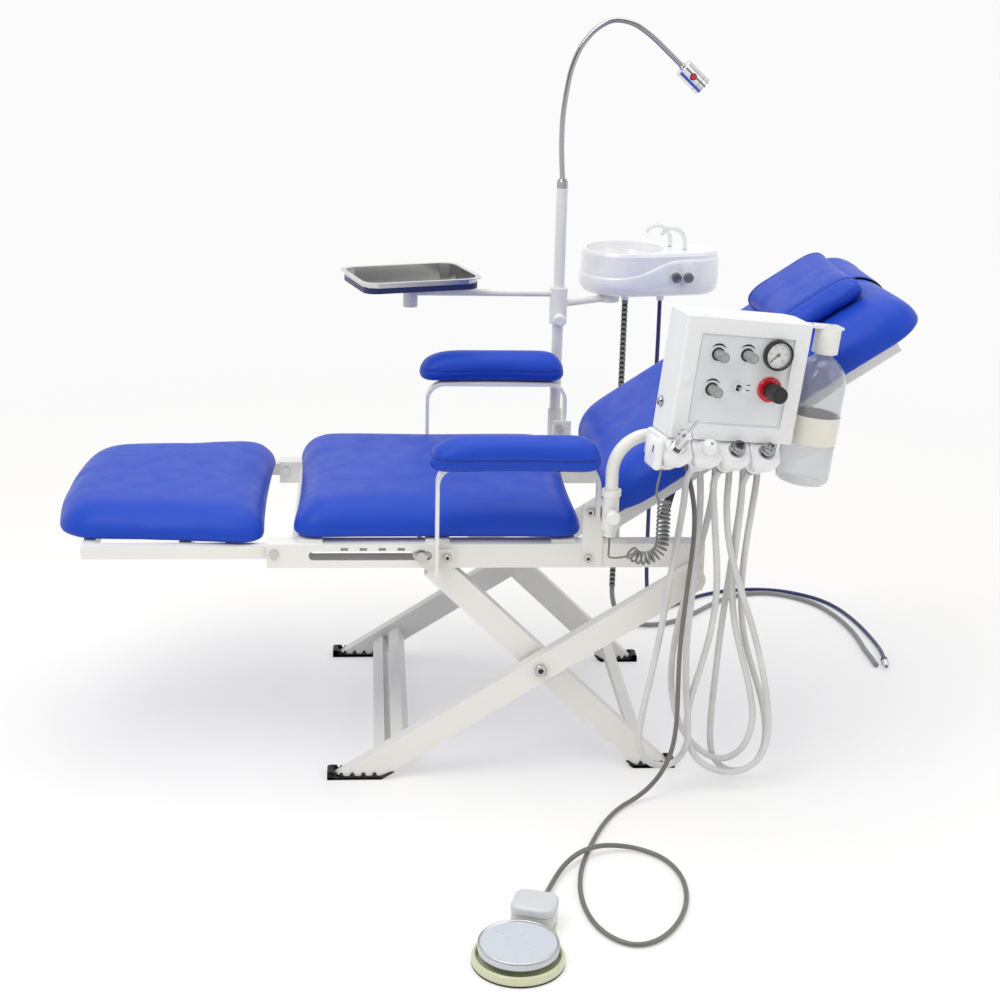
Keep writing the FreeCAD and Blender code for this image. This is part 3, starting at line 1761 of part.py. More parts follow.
panel_sheet = box(
    "PanelSheet",
    -(window_width / 2 + panel_overlap),
    window_width / 2 + panel_overlap,
    panel_face,
    panel_rear,
    -(window_height / 2 + panel_overlap),
    window_height / 2 + panel_overlap,
)
bush = rod("ToggleBush", "y", toggle_x, panel_face - bush_length, toggle_z, bush_radius, bush_length)
panel_bores = [
    rod("BushBore", "y", toggle_x, panel_face - bush_length - 1, toggle_z, bush_bore, bush_length + 10),
    rod("BushPinBore", "x", toggle_x - 20, pivot_y, toggle_z, lever_pin + fit, 40),
]
for index, (x, z) in enumerate(flow_places + [(reg_x, reg_z)]):
    panel_bores.append(
        rod("StemBore" + str(index), "y", x, panel_face - 1, z, control_stem + fit, panel_thickness + 2)
    )
panel = cut("Panel", fuse("PanelBlank", [panel_sheet, bush]), fuse("PanelBores", panel_bores))
unit_node("control_panel", [panel])


def control_knob(name, x, z, radius, length, lift):
    """A knob on a stem; a flange behind the panel keeps it in, drawn along the stem."""
    keep = control_stem + 2
    base = panel_rear + 4
    face = base - panel_face + lift
    knob = turned(
        name,
        [
            (0, 0),
            (keep, 0),
            (keep, 3.5),
            (control_stem, 3.5),
            (control_stem, face + 0.5),
            (radius * 0.94, face + 0.5),
            (radius, face + 2),
            (radius, face + length - 2),
            (radius - 2, face + length),
            (0, face + length),
        ],
    )
    return aim(knob, x, base, z, FACE_NEAR)


for index, label in enumerate(("flow_knob_upper_left", "flow_knob_upper_right", "flow_knob_lower_left")):
    x, z = flow_places[index]
    unit_node(label, [control_knob("FlowKnob" + str(index), x, z, flow_radius, flow_length, 0)])

lever = fuse(
    "ToggleLever",
    [
        rod("LeverPin", "x", toggle_x - bush_radius, pivot_y, toggle_z, lever_pin, bush_radius * 2),
        rod("LeverStick", "y", toggle_x, pivot_y - lever_length, toggle_z, lever_radius, lever_length + 2),
        rod("LeverTip", "y", toggle_x, pivot_y - lever_length, toggle_z, lever_radius + 1, 8),
    ],
)
unit_node("toggle_lever", [lever])

gauge = turned(
    "Gauge",
    [
        (1 + fit, 0),
        (gauge_radius - 1, 0),
        (gauge_radius, 1),
        (gauge_radius, gauge_depth - 1.5),
        (gauge_radius - 1.5, gauge_depth),
        (gauge_radius - 3, gauge_depth),
        (gauge_radius - 3, 4),
        (1 + fit, 4),
    ],
)
unit_node("pressure_gauge", [aim(gauge, gauge_x, panel_face, gauge_z, FACE_NEAR)])
needle = fuse(
    "GaugeNeedle",
    [
        rod("NeedlePin", "z", 0, 0, 1, 1, 6.5),
        rod("NeedleHub", "z", 0, 0, 4.5, 2.5, 3),
        box("NeedleBar", -needle_length * 0.3, needle_length, -0.8, 0.8, 5, 6.2),
    ],
)
needle_turn = FreeCAD.Rotation(Vector(1, 0, 0), 90).multiply(FreeCAD.Rotation(Vector(0, 0, 1), 225))
needle_set = aim(group("NeedleSet", [needle]), gauge_x, panel_face, gauge_z, needle_turn)
unit_node("gauge_needle", [needle_set])
ring = turned(
    "RegulatorRing",
    [
        (reg_radius * 0.6, 0),
        (ring_radius, 0),
        (ring_radius, ring_height - 1.5),
        (ring_radius - 1.5, ring_height),
        (reg_radius * 0.6, ring_height),
    ],
)
unit_node("regulator_ring", [aim(ring, reg_x, panel_face, reg_z, FACE_NEAR)])
unit_node(
    "regulator_knob", [control_knob("RegulatorKnob", reg_x, reg_z, reg_radius, reg_length, ring_height)]
)

# Handpiece holders under the case: blocks with slanted mouths, cut through to the underside.
holder_height = size("holder_height", 48.0)
holder_front = size("holder_front", -62.0)
holder_rear = size("holder_rear", 30.0)
holder_slope = size("holder_slope", 24.0)
holder_pitch = size("holder_pitch", 52.0)
holder_start = size("holder_start", -116.0)
holder_cap = size("holder_cap", 16.0)
mouth_radius = size("mouth_radius", 12.0)
holder_low = case_low - holder_height
mouth_y = holder_front + holder_slope / 2
mouth_z = case_low - holder_slope / 2
mouth_first = holder_start + holder_pitch / 2 - 2
SIDE_ON = FreeCAD.Rotation(Vector(1, 1, 1), 120)
MOUTH_TURN = FreeCAD.Rotation(Vector(1, 0, 0), 45)


def holder_block(name, start, length, count):
    """A block whose section (depth, height) is drawn along the case's width."""
    block = plate(
        name + "Section",
        [
            (holder_front, holder_low),
            (holder_rear, holder_low),
            (holder_rear, case_low),
            (holder_front + holder_slope, case_low),
            (holder_front, case_low - holder_slope),
        ],
        length,
    )
    aim(block, start, 0, 0, SIDE_ON)
    bores = []
    for index in range(count):
        bore = rod(name + "Bore" + str(index), "z", 0, 0, -160, mouth_radius, 200)
        at = start + holder_pitch / 2 - 2 + holder_pitch * index
        bores.append(aim(group(name + "Mouth" + str(index), [bore]), at, mouth_y, mouth_z, MOUTH_TURN))
    if not bores:
        return block
    return cut(name, block, fuse(name + "Bores", bores))


unit_node(
    "handpiece_holders",
    [
        holder_block("HolderCap", holder_start - holder_cap, holder_cap, 0),
        holder_block("HolderPair", holder_start, holder_pitch * 2 - 4, 2),
        holder_block("HolderThird", holder_start + holder_pitch * 2 - 4, holder_pitch, 1),
        holder_block("HolderFourth", holder_start + holder_pitch * 3 - 4, holder_pitch, 1),
    ],
)

coupling_flange = size("coupling_flange", 13.7)
coupling_body = size("coupling_body", 8.5)
coupling_nose = size("coupling_nose", 16.0)
coupling_drop = size("coupling_drop", 62.0)
mouth_places = [
    mouth_first,
    mouth_first + holder_pitch,
    mouth_first + holder_pitch * 2 - 4,
    mouth_first + holder_pitch * 3 - 4,
]


def coupling(name, x):
    piece = turned(
        name,
        [
            (0, -coupling_drop),
            (coupling_body, -coupling_drop),
            (coupling_body, -12),
            (mouth_radius - 0.4, -12),
            (mouth_radius - 0.4, 0),
            (coupling_flange, 0),
            (coupling_flange, 3),
            (coupling_body + 2, 3),
            (coupling_body + 2, coupling_nose - 2),
            (coupling_body, coupling_nose),
            (0, coupling_nose),
        ],
    )
    return aim(piece, x, mouth_y, mouth_z, MOUTH_TURN)


unit_node(
    "hose_couplings", [coupling("Coupling" + str(index), x) for index, x in enumerate(mouth_places[1:])]
)

# Three-way syringe in the first mouth, with two sprung buttons on its upper side.
syringe_radius = size("syringe_radius", 10.0)
syringe_length = size("syringe_length", 44.0)
nozzle_radius = size("nozzle_radius", 2.5)
nozzle_length = size("nozzle_length", 30.0)
syringe_button = size("syringe_button_radius", 3.5)
syringe_button_rise = size("syringe_button_rise", 4.0)
syringe_first = size("syringe_button_first", 16.0)
syringe_pitch = size("syringe_button_pitch", 12.0)
syringe_blank = turned(
    "SyringeBlank",
    [
        (0, -coupling_drop),
        (coupling_body, -coupling_drop),
        (coupling_body, -12),
        (mouth_radius - 0.4, -12),
        (mouth_radius - 0.4, 0),
        (coupling_flange, 0),
        (coupling_flange, 3),
        (syringe_radius, 3),
        (syringe_radius, syringe_length - 5),
        (syringe_radius * 0.6, syringe_length),
        (nozzle_radius + 1.5, syringe_length + 4),
        (nozzle_radius, syringe_length + 6),
        (nozzle_radius, syringe_length + 6 + nozzle_length),
        (0, syringe_length + 6 + nozzle_length),
    ],
)
syringe_bores = [
    rod(
        "SyringeBore" + str(index),
        "y",
        0,
        syringe_radius - 6,
        syringe_first + syringe_pitch * index,
        syringe_button + fit,
        12,
    )
    for index in range(2)
]
syringe = cut("SyringeShape", syringe_blank, fuse("SyringeBores", syringe_bores))
unit_node("syringe", [aim(syringe, mouth_first, mouth_y, mouth_z, MOUTH_TURN)])
for index, label in enumerate(("syringe_air_button", "syringe_water_button")):
    button = rod(
        "SyringeButton" + str(index),
        "y",
        0,
        syringe_radius - 3,
        syringe_first + syringe_pitch * index,
        syringe_button,
        3 + syringe_button_rise,
    )
    button_set = group("SyringeButtonSet" + str(index), [button])
    unit_node(label, [aim(button_set, mouth_first, mouth_y, mouth_z, MOUTH_TURN)])

# Water bottle hung from a bracket at the right side of the case.
bottle_x = size("bottle_x", 155.0)
bottle_bracket_z = size("bottle_bracket_z", 88.0)
bottle_cap_radius = size("bottle_cap_radius", 21.0)
bottle_cap_height = size("bottle_cap_height", 40.0)
bottle_neck = size("bottle_neck_radius", 14.0)
bottle_radius = size("bottle_radius", 44.0)
bottle_height = size("bottle_height", 215.0)
bottle_wall = size("bottle_wall", 2.0)
cap_low = bottle_bracket_z - bottle_cap_height
cap_shape = turned(
    "BottleCap",
    [
        (0, bottle_bracket_z),
        (bottle_cap_radius, bottle_bracket_z),
        (bottle_cap_radius, cap_low),
        (bottle_neck + 0.3, cap_low),
        (bottle_neck + 0.3, bottle_bracket_z - 4),
        (0, bottle_bracket_z - 4),
    ],
)
aim(cap_shape, bottle_x, 0, 0, FreeCAD.Rotation())
bottle_arm = box(
    "BottleArm", case_width / 2, bottle_x + 20, -14, 14, bottle_bracket_z, bottle_bracket_z + sheet_steel
)
unit_node("bottle_bracket", [bottle_arm, cap_shape])
bottle_low = cap_low - bottle_height
shoulder = cap_low - bottle_radius * 0.75
bottle = turned(
    "BottleShape",
    [
        (0, bottle_low),
        (bottle_radius - 6, bottle_low),
        (bottle_radius, bottle_low + 6),
        (bottle_radius, shoulder),
        (bottle_radius * 0.9, shoulder + bottle_radius * 0.3),
        (bottle_neck + 6, cap_low - 4),
        (bottle_neck, cap_low - 1),
        (bottle_neck, bottle_bracket_z - 4),
        (bottle_neck - bottle_wall, bottle_bracket_z - 4),
        (bottle_neck - bottle_wall, cap_low - 3),
        (bottle_neck + 5 - bottle_wall, cap_low - 5 - bottle_wall),
        (bottle_radius * 0.9 - bottle_wall, shoulder + bottle_radius * 0.3 - bottle_wall),
        (bottle_radius - bottle_wall, shoulder - bottle_wall),
        (bottle_radius - bottle_wall, bottle_low + 6 + bottle_wall * 0.5),
        (bottle_radius - 6 - bottle_wall * 0.5, bottle_low + bottle_wall),
        (0, bottle_low + bottle_wall),
    ],
)
unit_node("water_bottle", [aim(bottle, bottle_x, 0, 0, FreeCAD.Rotation())])

# Foot pedal: a round base, a sprung disc on a stem, and the valve housing beside it.
pedal_x = size("pedal_x", -73.0)
pedal_y = size("pedal_y", -850.0)
pedal_yaw = size("pedal_yaw", 71.8)
pedal_radius = size("pedal_base_radius", 67.0)
pedal_rim = size("pedal_base_rim", 15.0)
disc_radius = size("pedal_disc_radius", 58.0)
disc_low = size("pedal_disc_low", 20.0)
disc_high = size("pedal_disc_high", 33.0)
pedal_stem = size("pedal_stem_radius", 8.0)
pedal_travel = size("pedal_travel", 5.0)
housing_near = size("housing_near", 70.0)
housing_far = size("housing_far", 129.0)
housing_width = size("housing_width", 66.0)
housing_height = size("housing_height", 44.0)
foot_hose_radius = size("foot_hose_radius", 4.0)
dish_floor = size("pedal_dish_floor", 2.0)
stem_low = dish_floor + pedal_travel + 0.6
pedal_dish = turned(
    "PedalDish",
    [
        (0, 0),
        (pedal_radius, 0),
        (pedal_radius, pedal_rim - 4),
        (pedal_radius - 3, pedal_rim),
        (disc_radius + 2, pedal_rim),
        (disc_radius + 2, 4),
        (pedal_stem + 8, 4),
        (pedal_stem + 8, disc_low - pedal_travel - 0.5),
        (pedal_stem + fit, disc_low - pedal_travel - 0.5),
        (pedal_stem + fit, dish_floor),
        (0, dish_floor),
    ],
)
housing_half = housing_width / 2
housing_lid = plate(
    "HousingLid",
    [
        (housing_near, -housing_half),
        (housing_far - 8, -housing_half),
        (housing_far, 8 - housing_half),
        (housing_far, housing_half - 8),
        (housing_far - 8, housing_half),
        (housing_near, housing_half),
    ],
    housing_height,
)
foot_half = housing_half * 0.6
housing_foot = box(
    "HousingFoot", pedal_radius - 4, housing_near + 4, -foot_half, foot_half, 0, pedal_rim - 4
)
pedal_base = fuse("PedalBase", [pedal_dish, housing_lid, housing_foot])
turn(pedal_base, Vector(0, 0, 1), pedal_yaw)
place(pedal_base, pedal_x, pedal_y, 0)
node("pedal_base", [pedal_base])
pedal_disc = turned(
    "PedalDisc",
    [
        (0, stem_low),
        (pedal_stem, stem_low),
        (pedal_stem, disc_low),
        (disc_radius - 2, disc_low),
        (disc_radius, disc_low + 2),
        (disc_radius, disc_high - 4),
        (disc_radius - 4, disc_high - 1),
        (disc_radius * 0.5, disc_high),
        (0, disc_high),
    ],
)
aim(pedal_disc, pedal_x, pedal_y, 0, FreeCAD.Rotation())
node("pedal_disc", [pedal_disc])

# Hoses. Each starts at a coupling or nipple and ends square to the piece that holds it.
hose_radius = size("hose_radius", 5.5)
hose_rear = size("hose_rear_y", 36.7)
lead_radius = size("syringe_lead_radius", 1.8)
fall = math.sqrt(0.5)


def coupling_end(x, beyond):
    drop = coupling_drop + beyond
    return unit_point(x, mouth_y + drop * fall, mouth_z - drop * fall)


def underside(x, below):
    return unit_point(x, hose_rear, case_low - below)


def hose_start(x):
    return [coupling_end(x, 0), coupling_end(x, 33)]


def hose_return(x):
    return [underside(x, 43), underside(x, 0)]


hose_routes = [
    hose_start(mouth_places[1])
    + [
        (226, -322, 521),
        (216, -336, 460),
        (205, -343, 385),
        (196, -345, 305),
        (185, -345, 232),
        (174, -345, 168),
        (167, -345, 122),
        (168, -345, 83),
        (190, -345, 53),
        (227, -344, 52),
        (250, -342, 82),
        (251, -340, 124),
        (243, -337, 190),
        (240, -333, 265),
        (246, -326, 345),
        (252, -315, 425),
        (256, -303, 500),
        (254, -298, 548),
    ]
    + hose_return(-15),
    hose_start(mouth_places[2])
    + [
        (275, -311, 516),
        (279, -327, 455),
        (286, -335, 380),
        (283, -335, 305),
        (268, -335, 232),
        (251, -335, 165),
        (247, -335, 108),
        (265, -335, 60),
        (303, -335, 35),
        (345, -335, 33),
        (378, -335, 56),
        (391, -334, 100),
        (385, -334, 158),
        (372, -334, 222),
        (352, -334, 292),
        (325, -333, 365),
        (302, -327, 438),
        (297, -310, 500),
        (302, -294, 548),
    ]
    + hose_return(40),
    hose_start(mouth_places[3])
    + [
        (324, -300, 512),
        (318, -313, 450),
        (312, -319, 380),
        (319, -320, 308),
        (338, -320, 240),
        (356, -320, 180),
        (366, -320, 122),
        (353, -319, 70),
        (318, -316, 45),
        (276, -310, 62),
        (243, -305, 104),
        (226, -302, 160),
        (223, -301, 225),
        (231, -300, 295),
        (246, -299, 365),
        (263, -298, 435),
        (275, -296, 500),
        (280, -292, 550),
    ]
    + hose_return(12),
    [underside(88, 0), underside(88, 43)]
    + [
        (351, -285, 545),
        (343, -296, 490),
        (335, -300, 420),
        (333, -300, 345),
        (341, -300, 275),
        (360, -300, 215),
        (383, -300, 150),
        (394, -300, 96),
        (390, -300, 48),
        (364, -300, 19),
        (327, -300, 19),
        (301, -300, 47),
        (296, -300, 94),
        (297, -300, 145),
        (300, -300, 210),
        (304, -299, 285),
        (311, -297, 360),
        (319, -292, 435),
        (326, -286, 500),
        (328, -281, 548),
    ]
    + hose_return(62),
]
node(
    "handpiece_hoses",
    [tube("HandpieceHose" + str(index), route, hose_radius) for index, route in enumerate(hose_routes)],
)

housing_point = (
    pedal_x + cosine(pedal_yaw) * housing_far,
    pedal_y + sine(pedal_yaw) * housing_far,
    measure(12),
)
housing_exit = Vector(*[float(value) for value in housing_point])
housing_out = Vector(float(cosine(pedal_yaw)), float(sine(pedal_yaw)), 0)
foot_route = [
    underside(-45, 0),
    underside(-45, 42),
    (235, -311, 545),
    (243, -325, 500),
    (241, -343, 455),
    (234, -355, 396),
    (228, -361, 330),
    (224, -364, 265),
    (225, -366, 200),
    (226, -367, 140),
    (221, -367, 90),
    (206, -366, 50),
    (185, -367, 22),
    (160, -377, 7),
    (131, -402, 4.4),
    (104, -444, 4.4),
    (82, -492, 4.4),
    (62, -545, 4.4),
    (43, -607, 4.4),
    (34, -679, 4.4),
    (41, -747, 4.4),
    (63, -797, 4.4),
    (98, -823, 4.4),
    (138, -808, 4.4),
    (174, -759, 4.4),
    (196, -697, 4.4),
    (200, -630, 4.4),
    (182, -573, 4.4),
    (147, -543, 5.5),
    (112, -537, 9.5),
    (77, -546, 14.4),
    (44, -567, 14.4),
    (18, -598, 10),
    (0, -634, 7),
    housing_exit + housing_out * 44 + Vector(0, 0, -3),
    housing_exit + housing_out * 16,
    housing_exit,
]
node("foot_hose", [tube("FootHose", foot_route, foot_hose_radius)])

# Curly syringe lead: a wound tube on an axis that drops and then swings up.
curl_x = size("curl_x", 186.0)
curl_y = size("curl_y", -362.0)
curl_high = size("curl_high", 528.0)
curl_drop = size("curl_drop", 70.0)
curl_bend = size("curl_bend", 28.0)
curl_outer = size("curl_outer_radius", 11.5)
curl_pitch = size("curl_pitch", 7.0)
curl_turns = size("curl_turns", 20.0)
curl_radius = float(curl_outer - lead_radius)


def curl_point(turns):
    length = turns * float(curl_pitch)
    drop = float(curl_drop)
    bend = float(curl_bend)
    top = Vector(float(curl_x), float(curl_y), float(curl_high))
    swing = max(length - drop, 0) / bend
    out = Vector(math.cos(swing), 0, -math.sin(swing))
    along = top + Vector(-bend, 0, -min(length, drop)) + out * bend
    angle = math.pi + 2 * math.pi * turns
    return along + out * (curl_radius * math.cos(angle)) + Vector(0, curl_radius * math.sin(angle), 0)


def curl_tangent(turns):
    step = 0.001
    return unit_vector(curl_point(turns + step) - curl_point(turns - step))


def biarc(start, start_way, end, end_way):
    """Two tangent arcs from one point and direction to another."""
    chord = end - start
    total = start_way + end_way
    spread = 2 * (1 - start_way.dot(end_way))
    lean = chord.dot(total)
    reach = (math.sqrt(lean * lean + spread * chord.dot(chord)) - lean) / spread
    first = start + start_way * reach
    second = end - end_way * reach
    joint = (first + second) * 0.5
    arcs = []
    for a, control, b in ((start, first, joint), (joint, second, end)):
        half_chord = (b - a).Length / 2
        middle = (a + b) * 0.5
        height = control - middle
        sag = half_chord * math.tan(math.atan(height.Length / half_chord) / 2)
        arcs.append(Part.Arc(a, middle + unit_vector(height) * sag, b).toShape())
    return arcs


quarter = 0.25
quarters = int(round(float(curl_turns) / quarter))
curl_first = curl_point(0)
curl_last = curl_point(quarters * quarter)
curl_entry = curl_first - curl_tangent(0) * float(lead_radius * 2)
curl_exit = curl_last + curl_tangent(quarters * quarter) * float(lead_radius * 2)
curl_edges = [Part.LineSegment(curl_entry, curl_first).toShape()]
for index in range(quarters):
    here = index * quarter
    after = here + quarter
    curl_edges += biarc(curl_point(here), curl_tangent(here), curl_point(after), curl_tangent(after))
curl_edges.append(Part.LineSegment(curl_last, curl_exit).toShape())
curl_path = Part.Wire(curl_edges)
curl_circle = Part.Circle(curl_entry, curl_tangent(0), float(lead_radius)).toShape()
curl = solid("CurlyLead", curl_path.makePipeShell([Part.Wire([curl_circle])], True, False))
curl_samples = [curl_point(index / 48) for index in range(quarters * 12 + 1)]
curl_gap = min(
    (b - a).Length
    for index, a in enumerate(curl_samples)
    for b in curl_samples[index + 24 : index + 120]
)
curl_fill = curl.Shape.Volume / (math.pi * float(lead_radius) ** 2 * curl_path.Length)
print("CurlyLead length", round(curl_path.Length), "least gap", round(curl_gap - 2 * float(lead_radius), 2))
print("CurlyLead fill", round(curl_fill, 4))

entry_way = curl_tangent(0)
exit_way = curl_tangent(quarters * quarter)
lead_in = [
    coupling_end(mouth_first, 0),
    coupling_end(mouth_first, 12),
    (180.5, -337, 561),
    (178.5, -333.2, 548),
    (177.2, -334.6, 536),
    curl_entry - entry_way * 15,
    curl_entry,
]
arm_foot = Vector(float(arm_x), -float(arm_y), float(arm_low))
lead_out = [
    curl_exit,
    curl_exit + exit_way * 9,
    (137.5, -384.5, 446.5),
    (125, -387, 442),
    (115, -378, 437),
    (109, -363, 431),
    (105, -346, 425.5),
    (104.5, -330, 421.5),
    arm_foot + Vector(-1.6, -10.5, -28),
    arm_foot + Vector(-0.4, -2, -20.5),
    arm_foot + Vector(0, 0, -10),
    arm_foot,
]
node(
    "syringe_lead",
    [tube("LeadIn", lead_in, lead_radius), curl, tube("LeadOut", lead_out, lead_radius)],
)

# Spittoon drain: a ribbed hose to the floor, then a smooth tail that ends in a plain cut.
rib_crest = size("rib_crest_radius", 6.4)
rib_valley = size("rib_valley_radius", 5.2)
rib_bore = size("rib_bore_radius", 4.2)
rib_pitch = size("rib_pitch", 6.0)
rib_low = size("rib_low", 80.0)
rib_run = float(nipple_low - rib_low)
rib_count = int(rib_run / float(rib_pitch))
rib_wires = []
for index in range(rib_count):
    start = float(nipple_low) - rib_run * index / rib_count
    for share, radius in ((0, rib_valley), (0.25, rib_crest), (0.55, rib_crest), (0.8, rib_valley)):
        level = start - share * rib_run / rib_count
        middle = Vector(float(drain_x), float(drain_y), level)
        rib_wires.append(Part.Wire([Part.Circle(middle, Vector(0, 0, 1), float(radius)).toShape()]))
rib_middle = Vector(float(drain_x), float(drain_y), float(rib_low))
rib_wires.append(Part.Wire([Part.Circle(rib_middle, Vector(0, 0, 1), float(rib_valley)).toShape()]))
ribbed = solid("RibbedOutside", Part.makeLoft(rib_wires, True, True))
drain_hose = cut(
    "DrainHose",
    ribbed,
    rod("DrainBore", "z", drain_x, drain_y, rib_low - 1, rib_bore, nipple_low - rib_low + 2),
)
tail_route = [
    rib_middle,
    rib_middle + Vector(0.8, -1, -20),
    (229, 421, 38),
    (240, 413, 20),
    (260, 404, 9),
    (290, 398, 5.6),
    (328, 402, 5.6),
    (366, 424, 5.6),
    (406, 462, 5.6),
    (444, 505, 5.6),
    (484, 546, 5.6),
    (528, 573, 5.6),
    (576, 584, 5.6),
    (618, 573, 5.6),
    (656, 545, 5.6),
    (687, 504, 5.6),
    (707, 449, 5.6),
    (719, 388, 5.6),
    (724, 325, 5.6),
    (722, 265, 5.6),
    (724, 222, 5.6),
    (724.5, 181, 5.6),
]
node("drain_hose", [drain_hose, tube("DrainTail", tail_route, rib_valley)])

# Water supply: a smooth line to the floor that ends in a quick connector.
supply_radius = size("supply_radius", 4.2)
connector_radius = size("connector_radius", 7.5)
connector_length = size("connector_length", 34.0)
supply_end = Vector(746, 201, 8.5)
supply_way = unit_vector(Vector(-5, -34, 0))
supply_route = [
    (float(supply_x), float(supply_y), float(nipple_low)),
    (294, 429, 590),
    (292, 430, 480),
    (294, 430, 368),
    (292.5, 431, 260),
    (294, 433, 168),
    (296, 437, 100),
    (302, 446, 52),
    (314, 460, 20),
    (336, 482, 6),
    (366, 510, 4.6),
    (402, 542, 4.6),
    (442, 572, 4.6),
    (486, 594, 4.6),
    (532, 606, 4.6),
    (580, 607, 4.6),
    (625, 597, 4.6),
    (663, 575, 4.6),
    (695, 546, 4.6),
    (719, 506, 4.6),
    (735, 455, 4.6),
    (746, 395, 4.6),
    (752, 335, 4.6),
    (754, 285, 5.2),
    supply_end - supply_way * 40,
    supply_end,
]
connector = turned(
    "SupplyConnector",
    [
        (0, 0),
        (connector_radius - 1, 0),
        (connector_radius, 2),
        (connector_radius, connector_length * 0.65),
        (connector_radius * 0.75, connector_length * 0.7),
        (connector_radius * 0.75, connector_length),
        (0, connector_length),
    ],
)
aim(
    connector,
    supply_end.x,
    supply_end.y,
    supply_end.z,
    FreeCAD.Rotation(Vector(0, 0, 1), supply_way),
)
node("supply_line", [tube("SupplyLine", supply_route, supply_radius), connector])

doc.recompute()
faults = [item.Name for item in doc.Objects if "Invalid" in item.State or "Error" in item.State]
for thing in nodes:
    if thing.Shape.isNull() or not thing.Shape.isValid() or not thing.Shape.Solids:
        faults.append(thing.Label)
if faults:
    raise RuntimeError("faulty pieces: " + ", ".join(faults))
os.makedirs("parts", exist_ok=True)
for thing in nodes:
    thing.Shape.exportStep("parts/" + thing.Label + ".step")
print(len(nodes), "sub-parts written")
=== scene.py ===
import math

import bmesh
import bpy
from mathutils import Matrix, Vector
from mathutils.bvhtree import BVHTree
from mathutils.geometry import convex_hull_2d


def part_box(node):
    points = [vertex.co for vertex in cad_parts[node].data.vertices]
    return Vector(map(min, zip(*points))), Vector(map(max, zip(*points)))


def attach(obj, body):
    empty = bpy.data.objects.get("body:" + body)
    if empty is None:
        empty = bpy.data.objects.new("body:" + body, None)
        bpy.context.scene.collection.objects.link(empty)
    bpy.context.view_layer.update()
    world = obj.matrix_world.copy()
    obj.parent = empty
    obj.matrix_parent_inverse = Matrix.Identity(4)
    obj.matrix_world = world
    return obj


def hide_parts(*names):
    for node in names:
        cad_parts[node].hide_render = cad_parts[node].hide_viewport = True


bl_info = {
    "name": "Folding dental chair",
    "version": (1, 0, 0),
    "blender": (4, 5, 0),
    "location": "View3D > Sidebar > Dental Chair",
    "description": "Dresses a folding dental chair with its delivery unit, lamp, tray and spittoon",
    "category": "Object",
}

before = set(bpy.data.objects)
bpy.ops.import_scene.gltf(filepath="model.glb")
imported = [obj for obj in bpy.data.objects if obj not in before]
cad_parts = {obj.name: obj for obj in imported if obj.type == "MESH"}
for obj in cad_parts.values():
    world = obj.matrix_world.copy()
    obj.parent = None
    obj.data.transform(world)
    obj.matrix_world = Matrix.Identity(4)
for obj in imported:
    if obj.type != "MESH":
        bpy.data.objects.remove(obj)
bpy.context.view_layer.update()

# The unit's own frame: across its panel, into its case and up its face, from the case's middle.
UNIT = Matrix(
    (
        (0.971665, -0.207912, 0.112425, 0.38162),
        (0.206534, 0.978148, 0.023897, -0.13478),
        (-0.114937, 0.0, 0.993373, 0.72462),
        (0.0, 0.0, 0.0, 1.0),
    )
)
CHAIR_MIDDLE = 0.19025
# The back rest's frame: up along its face from its hinge, across the chair, and out of the cushion.
BACK = Matrix.Translation((0.20165, CHAIR_MIDDLE, 0.424)) @ Matrix.Rotation(math.radians(-34.0), 4, "Y")


def mm(*rows):
    """A table of millimetres in metres."""
    return [tuple(value / 1000 for value in row) for row in rows]


class Wire:
    """A shader socket: arithmetic on it adds Math nodes."""

    def __init__(self, bench, socket):
        self.bench = bench
        self.socket = socket

    def math(self, operation, *others):
        return self.bench.node("ShaderNodeMath", {"operation": operation}, self, *others)

    def __add__(self, other):
        return self.math("ADD", other)

    def __sub__(self, other):
        return self.math("SUBTRACT", other)

    def __mul__(self, other):
        return self.math("MULTIPLY", other)

    def above(self, limit):
        return self.math("GREATER_THAN", limit)

    def below(self, limit):
        return self.math("LESS_THAN", limit)


class Tree:
    """A node tree, with short ways to add nodes to it."""

    def __init__(self, tree):
        self.tree = tree
        tree.nodes.clear()

    def node(self, kind, settings, *inputs, out=0, **named):
        made = self.tree.nodes.new(kind)
        for key, value in settings.items():
            setattr(made, key, value)
        pairs = [*enumerate(inputs), *((key.replace("_", " "), value) for key, value in named.items())]
        for key, value in pairs:
            if value is not None:
                self.feed(made.inputs[key], value)
        return Wire(self, made.outputs[out])

    def feed(self, socket, value):
        if isinstance(value, Wire):
            self.tree.links.new(value.socket, socket)
        elif isinstance(value, tuple) and len(value) == 3 and socket.type == "RGBA":
            socket.default_value = (*value, 1)
        else:
            socket.default_value = value

    def show(self, wire, kind):
        """Ends the tree in an output node."""
        self.output = self.tree.nodes.new(kind)
        self.feed(self.output.inputs[0], wire)

    def ramp(self, value, stops):
        made = self.node("ShaderNodeValToRGB", {}, value)
        elements = made.socket.node.color_ramp.elements
        while len(elements) < len(stops):
            elements.new(0.5)
        for element, (place, colour) in zip(elements, stops):
            element.position = place
            element.color = (*colour, 1)
        return made

    def span(self, value, low, high, to_low, to_high):
        return self.node("ShaderNodeMapRange", {}, value, low, high, to_low, to_high)

    def rays(self, *kinds):
        """One for light paths of the named kinds, and nothing for the others."""
        path = self.tree.nodes.new("ShaderNodeLightPath")
        seen = Wire(self, path.outputs[kinds[0]])
        for kind in kinds[1:]:
            seen = seen.math("MAXIMUM", Wire(self, path.outputs[kind]))
        return seen


